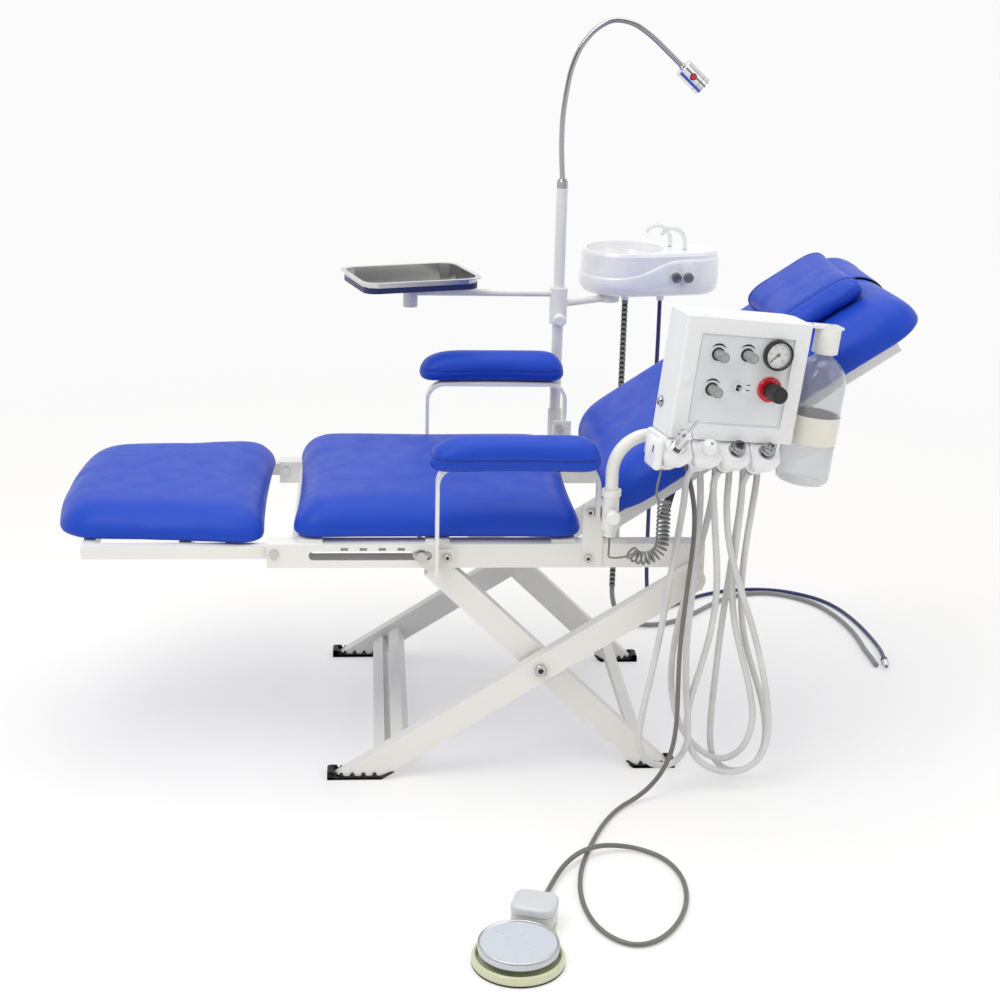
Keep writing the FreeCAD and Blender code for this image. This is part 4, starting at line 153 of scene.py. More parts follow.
class Bench(Tree):
    """The node tree of one finish, with its Principled shader."""

    def __init__(self, name, **sockets):
        self.name = name
        self.material = bpy.data.materials.new(name)
        self.material.use_nodes = True
        super().__init__(self.material.node_tree)
        self.shader = self.tree.nodes.new("ShaderNodeBsdfPrincipled")
        self.show(Wire(self, self.shader.outputs[0]), "ShaderNodeOutputMaterial")
        self.set(**sockets)

    def set(self, **sockets):
        for key, value in sockets.items():
            self.feed(self.shader.inputs[key.replace("_", " ").title().replace("Ior", "IOR")], value)

    def coords(self):
        return self.node("ShaderNodeTexCoord", {}, out="Object")

    def noise(self, scale, detail=2.0, stretch=None):
        vector = self.coords()
        if stretch:
            vector = self.node("ShaderNodeMapping", {}, vector, Scale=stretch)
        return self.node("ShaderNodeTexNoise", {}, vector, None, scale, detail)

    def cells(self, scale, feature="F1"):
        return self.node("ShaderNodeTexVoronoi", {"feature": feature}, self.coords(), Scale=scale)

    def mixed(self, mode, factor, first, second):
        made = self.node("ShaderNodeMix", {"data_type": "RGBA", "blend_type": mode}, out=2)
        sockets = made.socket.node.inputs
        for index, value in ((0, factor), (6, first), (7, second)):
            self.feed(sockets[index], value)
        return made

    def bump(self, height, strength, distance):
        self.set(normal=self.node("ShaderNodeBump", {}, strength, distance, Height=height))

    def within(self, low, high):
        """One inside a box that is mirrored about the chair's middle, and nothing outside it."""
        inside = None
        for axis in range(3):
            part = self.node("ShaderNodeSeparateXYZ", {}, self.coords(), out=axis)
            if axis == 1:
                part = (part - CHAIR_MIDDLE).math("ABSOLUTE")
            here = part.above(low[axis]) * part.below(high[axis])
            inside = here * inside if inside else here
        return inside


def tint(name, description, default):
    return bpy.props.FloatVectorProperty(
        name=name, description=description, subtype="COLOR", size=3, min=0, max=1, default=default
    )


def measure(name, description, default):
    return bpy.props.FloatProperty(name=name, description=description, unit="LENGTH", default=default)


class ChairFinish(bpy.types.PropertyGroup):
    """Colours of the chair's main finishes."""

    vinyl: tint("Vinyl", "Colour of the cushions' vinyl", (0.01, 0.056, 0.46))
    frame_paint: tint("Frame paint", "Colour of the powder coat on the frame", (0.78, 0.775, 0.735))
    case_paint: tint("Case paint", "Colour of the delivery unit's case", (0.775, 0.79, 0.8))
    moulding: tint("Moulding", "Colour of the spittoon and the handpiece holders", (0.83, 0.83, 0.845))


class ChairForm(bpy.types.PropertyGroup):
    """Sizes of the chair's soft and free pieces."""

    voxel: measure("Cover mesh", "Edge of the mesh that a cushion's cover is simulated on", 0.0055)
    swell: measure("Swell", "Furthest that a cushion's cover may bulge", 0.007)
    wall: bpy.props.FloatProperty(
        name="Wall", description="Share of a cushion's height that stands straight at its edge", default=0.36
    )
    pressure: bpy.props.FloatProperty(
        name="Pressure", description="Pressure of the filling on the cover", default=4.0
    )
    hose: measure("Hose", "Diameter of a handpiece hose", 0.011)
    foot_hose: measure("Foot hose", "Diameter of the foot hose", 0.008)
    lead: measure("Lead", "Diameter of the curly lead", 0.0036)
    drain: measure("Drain", "Diameter of the drain hose", 0.0104)
    supply: measure("Supply line", "Diameter of the supply line", 0.0084)


FINISHES = {}
# Painted shade: the inside of the side rails' channel, behind their slots, is coloured dark grey.
RAIL_SHADE_BOX = mm((-290, 100, 372), (-60, 249.8, 414))


def dress(obj, *names):
    """Gives an object its finishes, in the order of its faces' material numbers."""
    if obj.data.materials:
        obj.data.materials.clear()
    for name in names:
        obj.data.materials.append(FINISHES[name])
    return obj


def keep(bench):
    FINISHES[bench.name] = bench.material


def tinted(bench, value, low, high):
    """A colour between two, along a value from 0 to 1."""
    return bench.ramp(value, [(0.0, low), (1.0, high)])


def scaled(colour, share):
    return tuple(part * share for part in colour)


def painted(name, colour, rough, grain, depth, specks=0.0, shade_box=None):
    """Powder coat: a fine orange peel, with faint handling marks, specks and painted shade inside a channel.
    """
    bench = Bench(name)
    haze = bench.noise(7.0, 3.0)
    shade = bench.span(haze, 0.3, 0.7, 0.965, 1.0)
    worn = bench.ramp(shade, [(0.9, (0.9, 0.9, 0.88)), (1.0, (1, 1, 1))])
    mixed = bench.mixed("MULTIPLY", 1.0, colour, worn)
    if specks:
        dots = bench.span(bench.noise(170.0, 2.0), 0.7, 0.74, 0.0, specks)
        mixed = bench.mixed("MIX", dots, mixed, scaled(colour, 0.3))
    # Painted shade: inside the given box the coat is mixed to a dark grey, for the shade deep in the rails'
    # channel.
    if shade_box:
        mixed = bench.mixed("MIX", bench.within(*shade_box), mixed, (0.3, 0.3, 0.295))
    marks = bench.noise(60.0, 4.0)
    bench.set(base_color=mixed, roughness=bench.span(marks, 0.3, 0.75, rough - 0.06, rough + 0.08))
    peel = bench.noise(grain, 2.0)
    bench.bump(peel, 0.16, depth)
    keep(bench)


def metal(name, colour, rough, stretch=None):
    bench = Bench(name, metallic=1.0)
    streaks = bench.noise(40.0, 4.0, stretch)
    dark = scaled(colour, 0.86)
    bench.set(base_color=tinted(bench, bench.span(streaks, 0.3, 0.7, 0, 1), dark, colour))
    bench.set(roughness=bench.span(streaks, 0.3, 0.7, rough * 0.8, rough * 1.25))
    if stretch:
        bench.bump(streaks, 0.12, 0.00002)
    keep(bench)


def clouded(bench, colour, shade, clouds, marks, rough, grain):
    """Faint clouds in the colour, marks in the roughness and a fine grain in the surface."""
    tone = bench.span(bench.noise(*clouds), 0.3, 0.7, 0, 1)
    bench.set(base_color=tinted(bench, tone, scaled(colour, shade), colour))
    bench.set(roughness=bench.span(bench.noise(*marks), 0.3, 0.7, *rough))
    scale, detail, strength, depth = grain
    bench.bump(bench.noise(scale, detail), strength, depth)
    keep(bench)


def plastic(name, colour, rough, coat=0.0):
    bench = Bench(name, coat_weight=coat, coat_roughness=0.12)
    around = (rough * 0.85, rough * 1.15)
    clouded(bench, colour, 0.94, (18.0, 3.0), (130.0, 3.0), around, (900.0, 2.0, 0.15, 0.00003))


def hose_wall(name, colour, rough):
    """Extruded tube: faint streaks and a slightly waxy surface."""
    bench = Bench(name, coat_weight=0.25, coat_roughness=0.25)
    around = (rough - 0.08, rough + 0.08)
    clouded(bench, colour, 0.82, (14.0, 4.0), (90.0, 3.0), around, (320.0, 3.0, 0.12, 0.00008))


def clear_wall(name, colour, rough, through):
    bench = Bench(name, transmission_weight=through, ior=1.45)
    around = (rough * 0.8, rough * 1.2)
    clouded(bench, colour, 0.93, (22.0, 3.0), (60.0, 3.0), around, (35.0, 3.0, 0.1, 0.0006))


def vinyl(name, colour):
    """Coated fabric: a pebbled grain with fine creases between its cells."""
    bench = Bench(name, specular_ior_level=0.2)
    cloud = bench.noise(5.0, 3.0)
    pebble = bench.cells(620.0)
    crease = bench.span(bench.cells(620.0, "DISTANCE_TO_EDGE"), 0.0, 0.16, 0.0, 1.0)
    tone = bench.span(cloud, 0.3, 0.7, 0.0, 0.6) + bench.span(pebble, 0.0, 0.9, 0.0, 0.4)
    dark = scaled(colour, 0.95)
    light = tuple(min(part * 1.03 + 0.001, 1.0) for part in colour)
    bench.set(base_color=tinted(bench, tone, dark, light))
    rub = bench.noise(26.0, 4.0)
    bench.set(roughness=bench.span(rub, 0.3, 0.7, 0.36, 0.47))
    bench.bump(crease + bench.noise(240.0, 3.0) * 0.5, 0.22, 0.00012)
    keep(bench)


def ribbed_rubber(name, colour, rough):
    bench = Bench(name)
    dust = bench.span(bench.noise(45.0, 4.0), 0.45, 0.75, 0, 1)
    pale = tuple(min(part + 0.035, 1.0) for part in colour)
    bench.set(base_color=tinted(bench, dust, colour, pale))
    bench.set(roughness=bench.span(bench.noise(160.0), 0.3, 0.7, rough - 0.07, rough + 0.07))
    bench.bump(bench.noise(700.0, 3.0), 0.25, 0.00008)
    keep(bench)


def make_finishes(colours):
    painted("frame_coat", tuple(colours.frame_paint), 0.4, 1100.0, 0.00006)
    painted("case_coat", tuple(colours.case_paint), 0.36, 1400.0, 0.00004)
    painted("panel_coat", (0.72, 0.735, 0.76), 0.42, 1400.0, 0.00004)
    # The rails' coat carries painted shade inside their channel, behind the slots.
    painted("rail_coat", tuple(colours.frame_paint), 0.4, 1100.0, 0.00006, shade_box=RAIL_SHADE_BOX)
    painted("black_coat", (0.02, 0.02, 0.022), 0.45, 1100.0, 0.00006)
    painted("holder_coat", (0.012, 0.02, 0.1), 0.4, 1100.0, 0.00006)
    painted("disc_coat", (0.56, 0.6, 0.66), 0.34, 1600.0, 0.00004, 0.5)
    vinyl("blue_vinyl", tuple(colours.vinyl))
    metal("bright_chrome", (0.78, 0.78, 0.8), 0.07)
    metal("zinc_plate", (0.6, 0.6, 0.59), 0.3)
    metal("brushed_steel", (0.7, 0.7, 0.69), 0.15, (1.0, 30.0, 30.0))
    metal("lamp_metal", (0.44, 0.44, 0.45), 0.18, (40.0, 40.0, 4.0))
    metal("dark_chrome", (0.42, 0.42, 0.44), 0.14)
    metal("tap_metal", (0.3, 0.3, 0.3), 0.5)
    plastic("gloss_moulding", tuple(colours.moulding), 0.2, 0.5)
    plastic("white_plastic", (0.8, 0.795, 0.77), 0.3, 0.2)
    plastic("grey_plastic", (0.34, 0.345, 0.35), 0.3, 0.2)
    plastic("pale_grey_plastic", (0.62, 0.63, 0.65), 0.36)
    plastic("black_plastic", (0.012, 0.012, 0.013), 0.36)
    plastic("red_plastic", (0.55, 0.012, 0.02), 0.28, 0.3)
    plastic("dial_white", (0.86, 0.86, 0.85), 0.4)
    # Black for print and the gauge needle, and painted shade in holes: the drain grid's, the couplings', the
    # cap's, the holder row's slot and the bolts' sockets.
    plastic("ink_and_hole_shade", (0.012, 0.012, 0.014), 0.5)
    plastic("cream_ring", (0.6, 0.62, 0.42), 0.3, 0.3)
    plastic("cream_plastic", (0.76, 0.74, 0.66), 0.35)
    plastic("knob_grey", (0.24, 0.244, 0.25), 0.3, 0.2)
    plastic("seam_blue", (0.003, 0.014, 0.17), 0.5)
    # Grey for the painted shade behind the rails' notches.
    plastic("painted_shade_grey", (0.3, 0.3, 0.295), 0.5)
    plastic("blue_thread", (0.03, 0.085, 0.6), 0.6)
    ribbed_rubber("black_rubber", (0.012, 0.012, 0.012), 0.62)
    hose_wall("hose_grey", (0.66, 0.665, 0.66), 0.36)
    hose_wall("lead_grey", (0.2, 0.205, 0.2), 0.42)
    hose_wall("foot_hose", (0.16, 0.158, 0.135), 0.4)
    hose_wall("navy_hose", (0.006, 0.015, 0.12), 0.36)
    hose_wall("drain_grey", (0.24, 0.245, 0.25), 0.45)
    clear_wall("bottle_clear", (0.9, 0.91, 0.92), 0.06, 0.88)
    clear_wall("spout_clear", (0.9, 0.92, 0.92), 0.05, 0.85)
    pane = Bench("gauge_glass", base_color=(0.9, 0.92, 0.93), alpha=0.1, coat_weight=1.0, coat_roughness=0.03)
    pane.set(roughness=pane.span(pane.noise(90.0, 3.0), 0.3, 0.7, 0.03, 0.09))
    keep(pane)
    lens = Bench("lamp_lens", emission_strength=1.2, roughness=0.3)
    glow = tinted(lens, lens.cells(420.0), (1.0, 0.97, 0.86), (0.7, 0.7, 0.66))
    lens.set(base_color=(0.85, 0.85, 0.8), emission_color=glow)
    keep(lens)


# Routes of the hoses and lines, from the end that they leave.
FIRST_HOSE = mm(
    (326.9, -152.7, 577.4), (319.4, -130.5, 554.2), (319.6, -131.8, 521), (309.6, -145.7, 460),
    (298.6, -152.7, 385), (289.6, -154.7, 305), (278.6, -154.7, 232), (267.6, -154.7, 168),
    (260.6, -154.7, 122), (261.6, -154.7, 83), (283.6, -154.7, 53), (320.6, -153.7, 52),
    (343.6, -151.7, 82), (344.6, -149.7, 124), (336.7, -146.7, 190), (333.7, -142.7, 265),
    (339.6, -135.8, 345), (345.6, -124.7, 425), (349.6, -112.8, 500), (347.6, -107.7, 548),
    (343.7, -105.3, 587.3), (348.5, -104.3, 630),
)
SECOND_HOSE = mm(
    (373.5, -142.8, 571.9), (366, -120.5, 548.7), (368.6, -120.7, 516), (372.6, -136.8, 455),
    (379.6, -144.7, 380), (376.6, -144.7, 305), (361.6, -144.7, 232), (344.6, -144.7, 165),
    (340.6, -144.7, 108), (358.6, -144.7, 60), (396.7, -144.7, 35), (438.6, -144.7, 33),
    (471.6, -144.7, 56), (484.6, -143.7, 100), (478.6, -143.7, 158), (465.6, -143.7, 222),
    (445.6, -143.7, 292), (418.6, -142.7, 365), (395.7, -136.8, 438), (390.6, -119.7, 500),
    (395.7, -103.7, 548), (397.1, -94, 581), (402, -92.9, 623.7),
)
THIRD_HOSE = mm(
    (424, -132.1, 565.9), (416.5, -109.8, 542.7), (417.6, -109.8, 512), (411.6, -122.7, 450),
    (405.6, -128.8, 380), (412.6, -129.8, 308), (431.6, -129.8, 240), (449.6, -129.8, 180),
    (459.7, -129.8, 122), (446.6, -128.8, 70), (411.6, -125.8, 45), (369.6, -119.7, 62),
    (336.7, -114.8, 104), (319.6, -111.8, 160), (316.6, -110.8, 225), (324.6, -109.8, 295),
    (339.6, -108.7, 365), (356.6, -107.7, 435), (368.6, -105.7, 500), (373.6, -101.7, 550),
    (369.9, -99.7, 584.2), (374.7, -98.7, 626.9),
)
SUCTION_HOSE = mm(
    (448.6, -83, 618.1), (443.8, -84.1, 575.4), (444.6, -94.8, 545), (436.6, -105.7, 490),
    (428.6, -109.8, 420), (426.6, -109.8, 345), (434.6, -109.8, 275), (453.6, -109.8, 215),
    (476.6, -109.8, 150), (487.6, -109.8, 96), (483.6, -109.8, 48), (457.7, -109.8, 19),
    (420.6, -109.8, 19), (394.7, -109.8, 47), (389.6, -109.8, 94), (390.6, -109.8, 145),
    (393.6, -109.8, 210), (397.7, -108.7, 285), (404.6, -106.7, 360), (412.6, -101.7, 435),
    (419.6, -95.8, 500), (421.6, -90.7, 548), (418.5, -89.4, 578.4), (423.3, -88.4, 621.1),
)
FOOT_HOSE = mm(
    (319.4, -110.5, 633.4), (314.6, -111.5, 591.7), (328.6, -120.7, 545), (336.7, -134.8, 500),
    (334.7, -152.7, 455), (327.6, -164.8, 396), (321.6, -170.8, 330), (317.6, -173.7, 265),
    (318.6, -175.7, 200), (319.6, -176.7, 140), (314.6, -176.7, 90), (299.6, -175.7, 50),
    (278.6, -176.7, 22), (253.6, -186.7, 7), (224.7, -211.7, 4.4), (197.6, -253.7, 4.4),
    (175.7, -301.8, 4.4), (155.7, -354.8, 4.4), (136.6, -416.8, 4.4), (127.7, -488.8, 4.4),
    (134.6, -556.7, 4.4), (156.7, -606.8, 4.4), (191.7, -632.8, 4.4), (231.6, -617.8, 4.4),
    (267.6, -568.7, 4.4), (289.6, -506.8, 4.4), (293.6, -439.7, 4.4), (275.6, -382.7, 4.4),
    (240.7, -352.8, 5.5), (205.6, -346.8, 9.5), (170.6, -355.8, 14.4), (137.6, -376.7, 14.4),
    (111.6, -407.8, 10), (93.7, -443.7, 7), (74.7, -495.4, 9), (65.9, -522, 12), (60.9, -537.2, 12),
)
LEAD_IN = mm(
    (276.3, -163.5, 583.4), (273.6, -155.4, 574.9), (274.2, -146.7, 561), (272.2, -142.9, 548),
    (270.9, -144.4, 536), (270, -153.3, 530.1), (270, -168.2, 528.4),
)
LEAD_OUT = mm(
    (236.8, -175.3, 447.3), (236.4, -184.3, 447.8), (231.1, -194.3, 446.5), (218.7, -196.8, 442),
    (208.7, -187.8, 437), (202.6, -172.7, 431), (198.6, -155.7, 425.5), (198.1, -139.8, 421.5),
    (200, -128.4, 422), (201.1, -119.9, 429.5), (201.6, -117.9, 440), (201.6, -117.9, 450),
)
DRAIN_TAIL = mm(
    (316.6, 616.8, 80), (317.5, 615.8, 60), (322.6, 611.2, 38), (333.7, 603.2, 20), (353.6, 594.2, 9),
    (383.6, 588.3, 5.6), (421.6, 592.3, 5.6), (459.7, 614.2, 5.6), (499.6, 652.2, 5.6),
    (537.6, 695.3, 5.6), (577.6, 736.2, 5.6), (621.6, 763.2, 5.6), (669.6, 774.2, 5.6),
    (711.7, 763.2, 5.6), (749.6, 735.2, 5.6), (780.6, 694.3, 5.6), (800.6, 639.2, 5.6),
    (812.6, 578.3, 5.6), (817.6, 515.2, 5.6), (815.6, 455.2, 5.6), (817.6, 412.3, 5.6),
    (818.1, 371.3, 5.6),
)
SUPPLY_LINE = mm(
    (386.6, 618.8, 689), (387.6, 619.2, 590), (385.6, 620.2, 480), (387.6, 620.2, 368),
    (386.1, 621.2, 260), (387.6, 623.2, 168), (389.6, 627.2, 100), (395.7, 636.2, 52),
    (407.6, 650.2, 20), (429.6, 672.3, 6), (459.7, 700.3, 4.6), (495.6, 732.2, 4.6),
    (535.6, 762.2, 4.6), (579.6, 784.3, 4.6), (625.6, 796.3, 4.6), (673.6, 797.3, 4.6),
    (718.7, 787.3, 4.6), (756.6, 765.2, 4.6), (788.6, 736.2, 4.6), (812.6, 696.3, 4.6),
    (828.6, 645.2, 4.6), (839.7, 585.3, 4.6), (845.7, 525.2, 4.6), (847.7, 475.3, 5.2),
    (845.5, 430.8, 8.5), (839.7, 391.2, 8.5),
)
CURL_TOP = (0.27965, -0.17175, 0.528)
DRAIN_TOP = (0.31665, 0.61675, 0.689)
SUPPLY_WAY = (-0.1455, -0.9894, 0.0)


SHARP_EDGE = math.radians(44)


def shown(name, data):
    obj = bpy.data.objects.new(name, data)
    bpy.context.scene.collection.objects.link(obj)
    return obj


def line(name, points, diameter, finish_name, body, resolution=8):
    """A round tube on a smooth spline through a route's control points."""
    curve = bpy.data.curves.new(name, "CURVE")
    curve.dimensions = "3D"
    curve.bevel_depth = diameter / 2
    curve.bevel_resolution = 4
    curve.resolution_u = resolution
    curve.use_fill_caps = True
    spline = curve.splines.new("NURBS")
    spline.points.add(len(points) - 1)
    for control, point in zip(spline.points, points):
        control.co = (*point, 1.0)
    spline.order_u = 3
    spline.use_endpoint_u = True
    obj = shown(name, curve)
    dress(obj, finish_name)
    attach(obj, body)
    return obj


def piece(name, mesh, body, slot, *finishes):
    """Turns a bmesh into an object that rides on a body."""
    data = bpy.data.meshes.new(name)
    placed = mesh.faces.layers.int.get("placed")
    if placed:
        mesh.faces.layers.int.remove(placed)
    mesh.to_mesh(data)
    mesh.free()
    obj = shown(name, data)
    dress(obj, *finishes)
    for polygon in data.polygons:
        polygon.use_smooth = True
    data.set_sharp_from_angle(angle=SHARP_EDGE)
    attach(obj, body)
    return obj


def along(start, way):
    """A turn and place that takes +Z to a direction at a point."""
    turn = Vector(way).to_track_quat("Z", "Y").to_matrix().to_4x4()
    return Matrix.Translation(start) @ turn


def settle(mesh, place, number=0):
    """Turns the faces made since the last call the right way out and sets them in place."""
    placed = mesh.faces.layers.int.get("placed") or mesh.faces.layers.int.new("placed")

    def fresh():
        return [face for face in mesh.faces if not face[placed]]

    def corners():
        return list({corner for face in fresh() for corner in face.verts})

    bmesh.ops.remove_doubles(mesh, verts=corners(), dist=1e-7)
    bmesh.ops.recalc_face_normals(mesh, faces=fresh())
    bmesh.ops.transform(mesh, matrix=place, verts=corners())
    for face in fresh():
        face[placed] = 1
        face.material_index = number


def lathe(mesh, profile, place, number=0, steps=32):
    """Spins a profile of (radius, height) pairs round +Z and sets it in place."""
    made = [mesh.verts.new((radius, 0.0, height)) for radius, height in profile]
    edges = [mesh.edges.new(pair) for pair in zip(made, made[1:])]
    bmesh.ops.spin(
        mesh,
        geom=made + edges,
        axis=(0, 0, 1),
        cent=(0, 0, 0),
        angle=2 * math.pi,
        steps=steps,
        use_merge=True,
    )
    settle(mesh, place, number)


def hoop(mesh, profile, place, number=0, steps=40):
    """A ring whose closed section is given as (radius, height) pairs."""
    lathe(mesh, [*profile, profile[0]], place, number, steps)


def slab(mesh, size, place, bevel):
    """A block with rounded edges."""
    made = bmesh.ops.create_cube(mesh, size=1.0)["verts"]
    bmesh.ops.scale(mesh, vec=size, verts=made)
    edges = list({edge for corner in made for edge in corner.link_edges})
    bmesh.ops.bevel(mesh, geom=edges, offset=bevel, affect="EDGES", segments=3, profile=0.5, material=-1)
    settle(mesh, place)


def flat(mesh, outline, place, thick, number=0):
    """A plate with the given outline that stands out along +Z."""
    face = mesh.faces.new([mesh.verts.new((x, y, 0.0)) for x, y in outline])
    raised = bmesh.ops.extrude_face_region(mesh, geom=[face])["geom"]
    tops = [item for item in raised if isinstance(item, bmesh.types.BMVert)]
    bmesh.ops.translate(mesh, vec=(0, 0, thick), verts=tops)
    settle(mesh, place, number)


def skinned(mesh, rings, place, number=0, closed=False):
    """Walls between rings of as many points; the end rings are capped, or joined to each other."""
    made = [[mesh.verts.new(point) for point in ring] for ring in rings]
    pairs = list(zip(made, made[1:]))
    if closed:
        pairs.append((made[-1], made[0]))
    else:
        mesh.faces.new(made[0])
        mesh.faces.new(made[-1])
    for low, high in pairs:
        for index, corner in enumerate(low):
            mesh.faces.new((low[index - 1], corner, high[index], high[index - 1]))
    settle(mesh, place, number)


def rounded(half_x, half_y, corner):
    """The outline of a rectangle with round corners."""
    steps = 6
    outline = []
    for turn, (x, y) in enumerate(((1, 1), (-1, 1), (-1, -1), (1, -1))):
        for index in range(steps + 1):
            angle = math.pi / 2 * (turn + index / steps)
            across = x * (half_x - corner) + corner * math.cos(angle)
            outline.append((across, y * (half_y - corner) + corner * math.sin(angle)))
    return outline


def layered(half_x, half_y, corner, layers):
    """Rings of a rounded block, from its layers' (inset, height) pairs."""
    return [
        [(x, y, height) for x, y in rounded(half_x - inset, half_y - inset, max(corner - inset, 0.0004))]
        for inset, height in layers
    ]


def bead(mesh, path, radius):
    """A round bead along a closed path of (place, way out) pairs."""
    angles = [math.pi / 4 * turn for turn in range(8)]
    rings = []
    for index, (point, out) in enumerate(path):
        ahead = (path[(index + 1) % len(path)][0] - path[index - 1][0]).normalized()
        side = ahead.cross(out).normalized()
        rise = side.cross(ahead)
        rings.append([point + (side * math.cos(a) + rise * math.sin(a)) * radius for a in angles])
    skinned(mesh, rings, Matrix(), 0, True)


def grips(mesh, count, radius, low, high, size, place):
    """Upright ribs round a knob."""
    for index in range(count):
        turn = Matrix.Rotation(2 * math.pi * index / count, 4, "Z")
        spot = place @ turn @ Matrix.Translation((radius, 0, (low + high) / 2))
        slab(mesh, (size, size, high - low), spot, size * 0.3)


def on_face(x, z, depth):
    """A place on the delivery unit's front: +X across it, +Y up it and +Z out of it."""
    return UNIT @ Matrix.Translation((x, depth, z)) @ Matrix.Rotation(math.radians(90), 4, "X")


def numeral(mesh, text, size, place, number):
    """A flat number from the built-in font."""
    curve = bpy.data.curves.new("numeral", "FONT")
    curve.body = text
    curve.size = size
    curve.align_x = "CENTER"
    curve.align_y = "CENTER"
    holder = shown("numeral", curve)
    data = baked(holder)
    mesh.from_mesh(data)
    settle(mesh, place, number)
    bpy.data.objects.remove(holder)
    bpy.data.meshes.remove(data)


class Step:
    """One step of dressing the chair."""

    def execute(self, context):
        self.build(context.scene.chair_form)
        return {"FINISHED"}


class CHAIR_OT_hoses(Step, bpy.types.Operator):
    """Handpiece hoses that hang in loops under the unit's holders"""

    bl_idname = "chair.hoses"
    bl_label = "Handpiece hoses"

    def build(self, form):
        routes = (
            ("handpiece_hose_left", FIRST_HOSE, 1.165),
            ("handpiece_hose_middle", SECOND_HOSE, 1.24),
            ("handpiece_hose_right", THIRD_HOSE, 1.18),
            ("suction_hose", SUCTION_HOSE, 1.266),
        )
        for name, route, length in routes:
            hose = line(name, route, form.hose, "hose_grey", "delivery_unit")
            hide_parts("handpiece_hoses")


class CHAIR_OT_foot_hose(Step, bpy.types.Operator):
    """Hose from the unit to the foot pedal, with one loop on the floor"""

    bl_idname = "chair.foot_hose"
    bl_label = "Foot hose"

    def build(self, form):
        hose = line("foot_control_hose", FOOT_HOSE, form.foot_hose, "foot_hose", "delivery_unit")
        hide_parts("foot_hose")


def curl_route(turns, steps, radius, pitch, drop, bend):
    """A winding whose axis drops from its top and then swings up sideways."""
    top = Vector(CURL_TOP)
    wide = radius / (0.75 + 0.25 * math.cos(2 * math.pi / steps))
    route = []
    for index in range(turns * steps + 1):
        reach = index / steps * pitch
        swing = max(reach - drop, 0.0) / bend
        out = Vector((math.cos(swing), 0.0, -math.sin(swing)))
        centre = top + Vector((-bend, 0.0, -min(reach, drop))) + out * bend
        angle = math.pi + 2 * math.pi * index / steps
        route.append(centre + out * (wide * math.cos(angle)) + Vector((0.0, wide * math.sin(angle), 0.0)))
    return route


class CHAIR_OT_syringe_lead(Step, bpy.types.Operator):
    """Curly lead from the syringe to the foot of the unit's arm"""

    bl_idname = "chair.syringe_lead"
    bl_label = "Syringe lead"

    def build(self, form):
        winding = curl_route(turns=20, steps=12, radius=0.0097, pitch=0.007, drop=0.07, bend=0.028)
        route = [*LEAD_IN[:-1], *winding, *LEAD_OUT[1:]]
        lead = line("curly_lead", route, form.lead, "lead_grey", "delivery_unit", 4)
        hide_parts("syringe_lead")


class CHAIR_OT_drain(Step, bpy.types.Operator):
    """Spittoon's drain: a ribbed hose that turns into a smooth tail on the floor"""

    bl_idname = "chair.drain"
    bl_label = "Drain hose"

    def build(self, form):
        x, y, high = DRAIN_TOP
        low = DRAIN_TAIL[0][2]
        route = [(x, y, high), (x + 0.0008, y, 0.56), (x - 0.0006, y, 0.43), (x + 0.0006, y, 0.3)]
        route += [(x - 0.0003, y, 0.18), *DRAIN_TAIL]
        drain = line("drain_line", route, form.drain, "drain_grey", "spittoon")
        mesh = bmesh.new()
        ribs = 62
        profile = [(0.0, high - 0.001)]
        for index in range(ribs):
            top = high - (high - low) * index / ribs
            step = (high - low) / ribs
            for share, radius in ((0.08, 0.0053), (0.22, 0.0063), (0.68, 0.0063), (0.86, 0.0053)):
                profile.append((radius, top - share * step))
        profile.append((0.0, low))
        lathe(mesh, profile, Matrix.Translation((x, y, 0.0)), 0, 20)
        for face in mesh.faces:
            height = (high - face.calc_center_median().z) / (high - low) * ribs % 1.0
            face.material_index = 0 if 0.2 < height < 0.7 else 1
        ribbing = piece("drain_ribbing", mesh, "spittoon", "drain_grey", "drain_grey", "black_rubber")
        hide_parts("drain_hose")


class CHAIR_OT_supply(Step, bpy.types.Operator):
    """Water line from the spittoon to a quick connector on the floor"""

    bl_idname = "chair.supply"
    bl_label = "Supply line"

    def build(self, form):
        supply = line("water_line", SUPPLY_LINE, form.supply, "navy_hose", "spittoon")
        mesh = bmesh.new()
        place = along(SUPPLY_LINE[-1], SUPPLY_WAY)
        nut = mm((4.2, -3), (6.6, -3), (7.5, -1.5), (7.5, 9.5), (6.8, 10.5), (0, 10.5))
        lathe(mesh, nut, place, 0, 6)
        barrel = mm(
            (0, 10.5), (6.6, 10.5), (7.2, 11.2), (7.2, 13.5), (6.6, 14.1), (6.6, 17.5), (7.2, 18.1),
            (7.2, 21.2), (6.5, 22), (5.4, 23.2), (5.4, 27.5), (4.8, 28.2), (4.8, 29.8), (5.5, 30.5),
            (5.5, 33), (5, 33.8), (3.2, 33.8), (3.2, 26), (0, 26),
        )
        lathe(mesh, barrel, place, 1, 28)
        looks = ("black_plastic", "bright_chrome")
        connector = piece("water_connector", mesh, "spittoon", "navy_rubber", *looks)
        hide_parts("supply_line")


CLOTH_FRAMES = 20
CLOTH_STIFFNESS = 18.0
SMOOTHING_PASSES = 28
# Height above a cover's underside up to which it is kept flat.
FLAT_FOOT = 0.012
STITCH = 0.0036


def baked(obj):
    """The object's mesh with its modifiers worked in."""
    view = bpy.context.evaluated_depsgraph_get()
    return bpy.data.meshes.new_from_object(obj.evaluated_get(view))


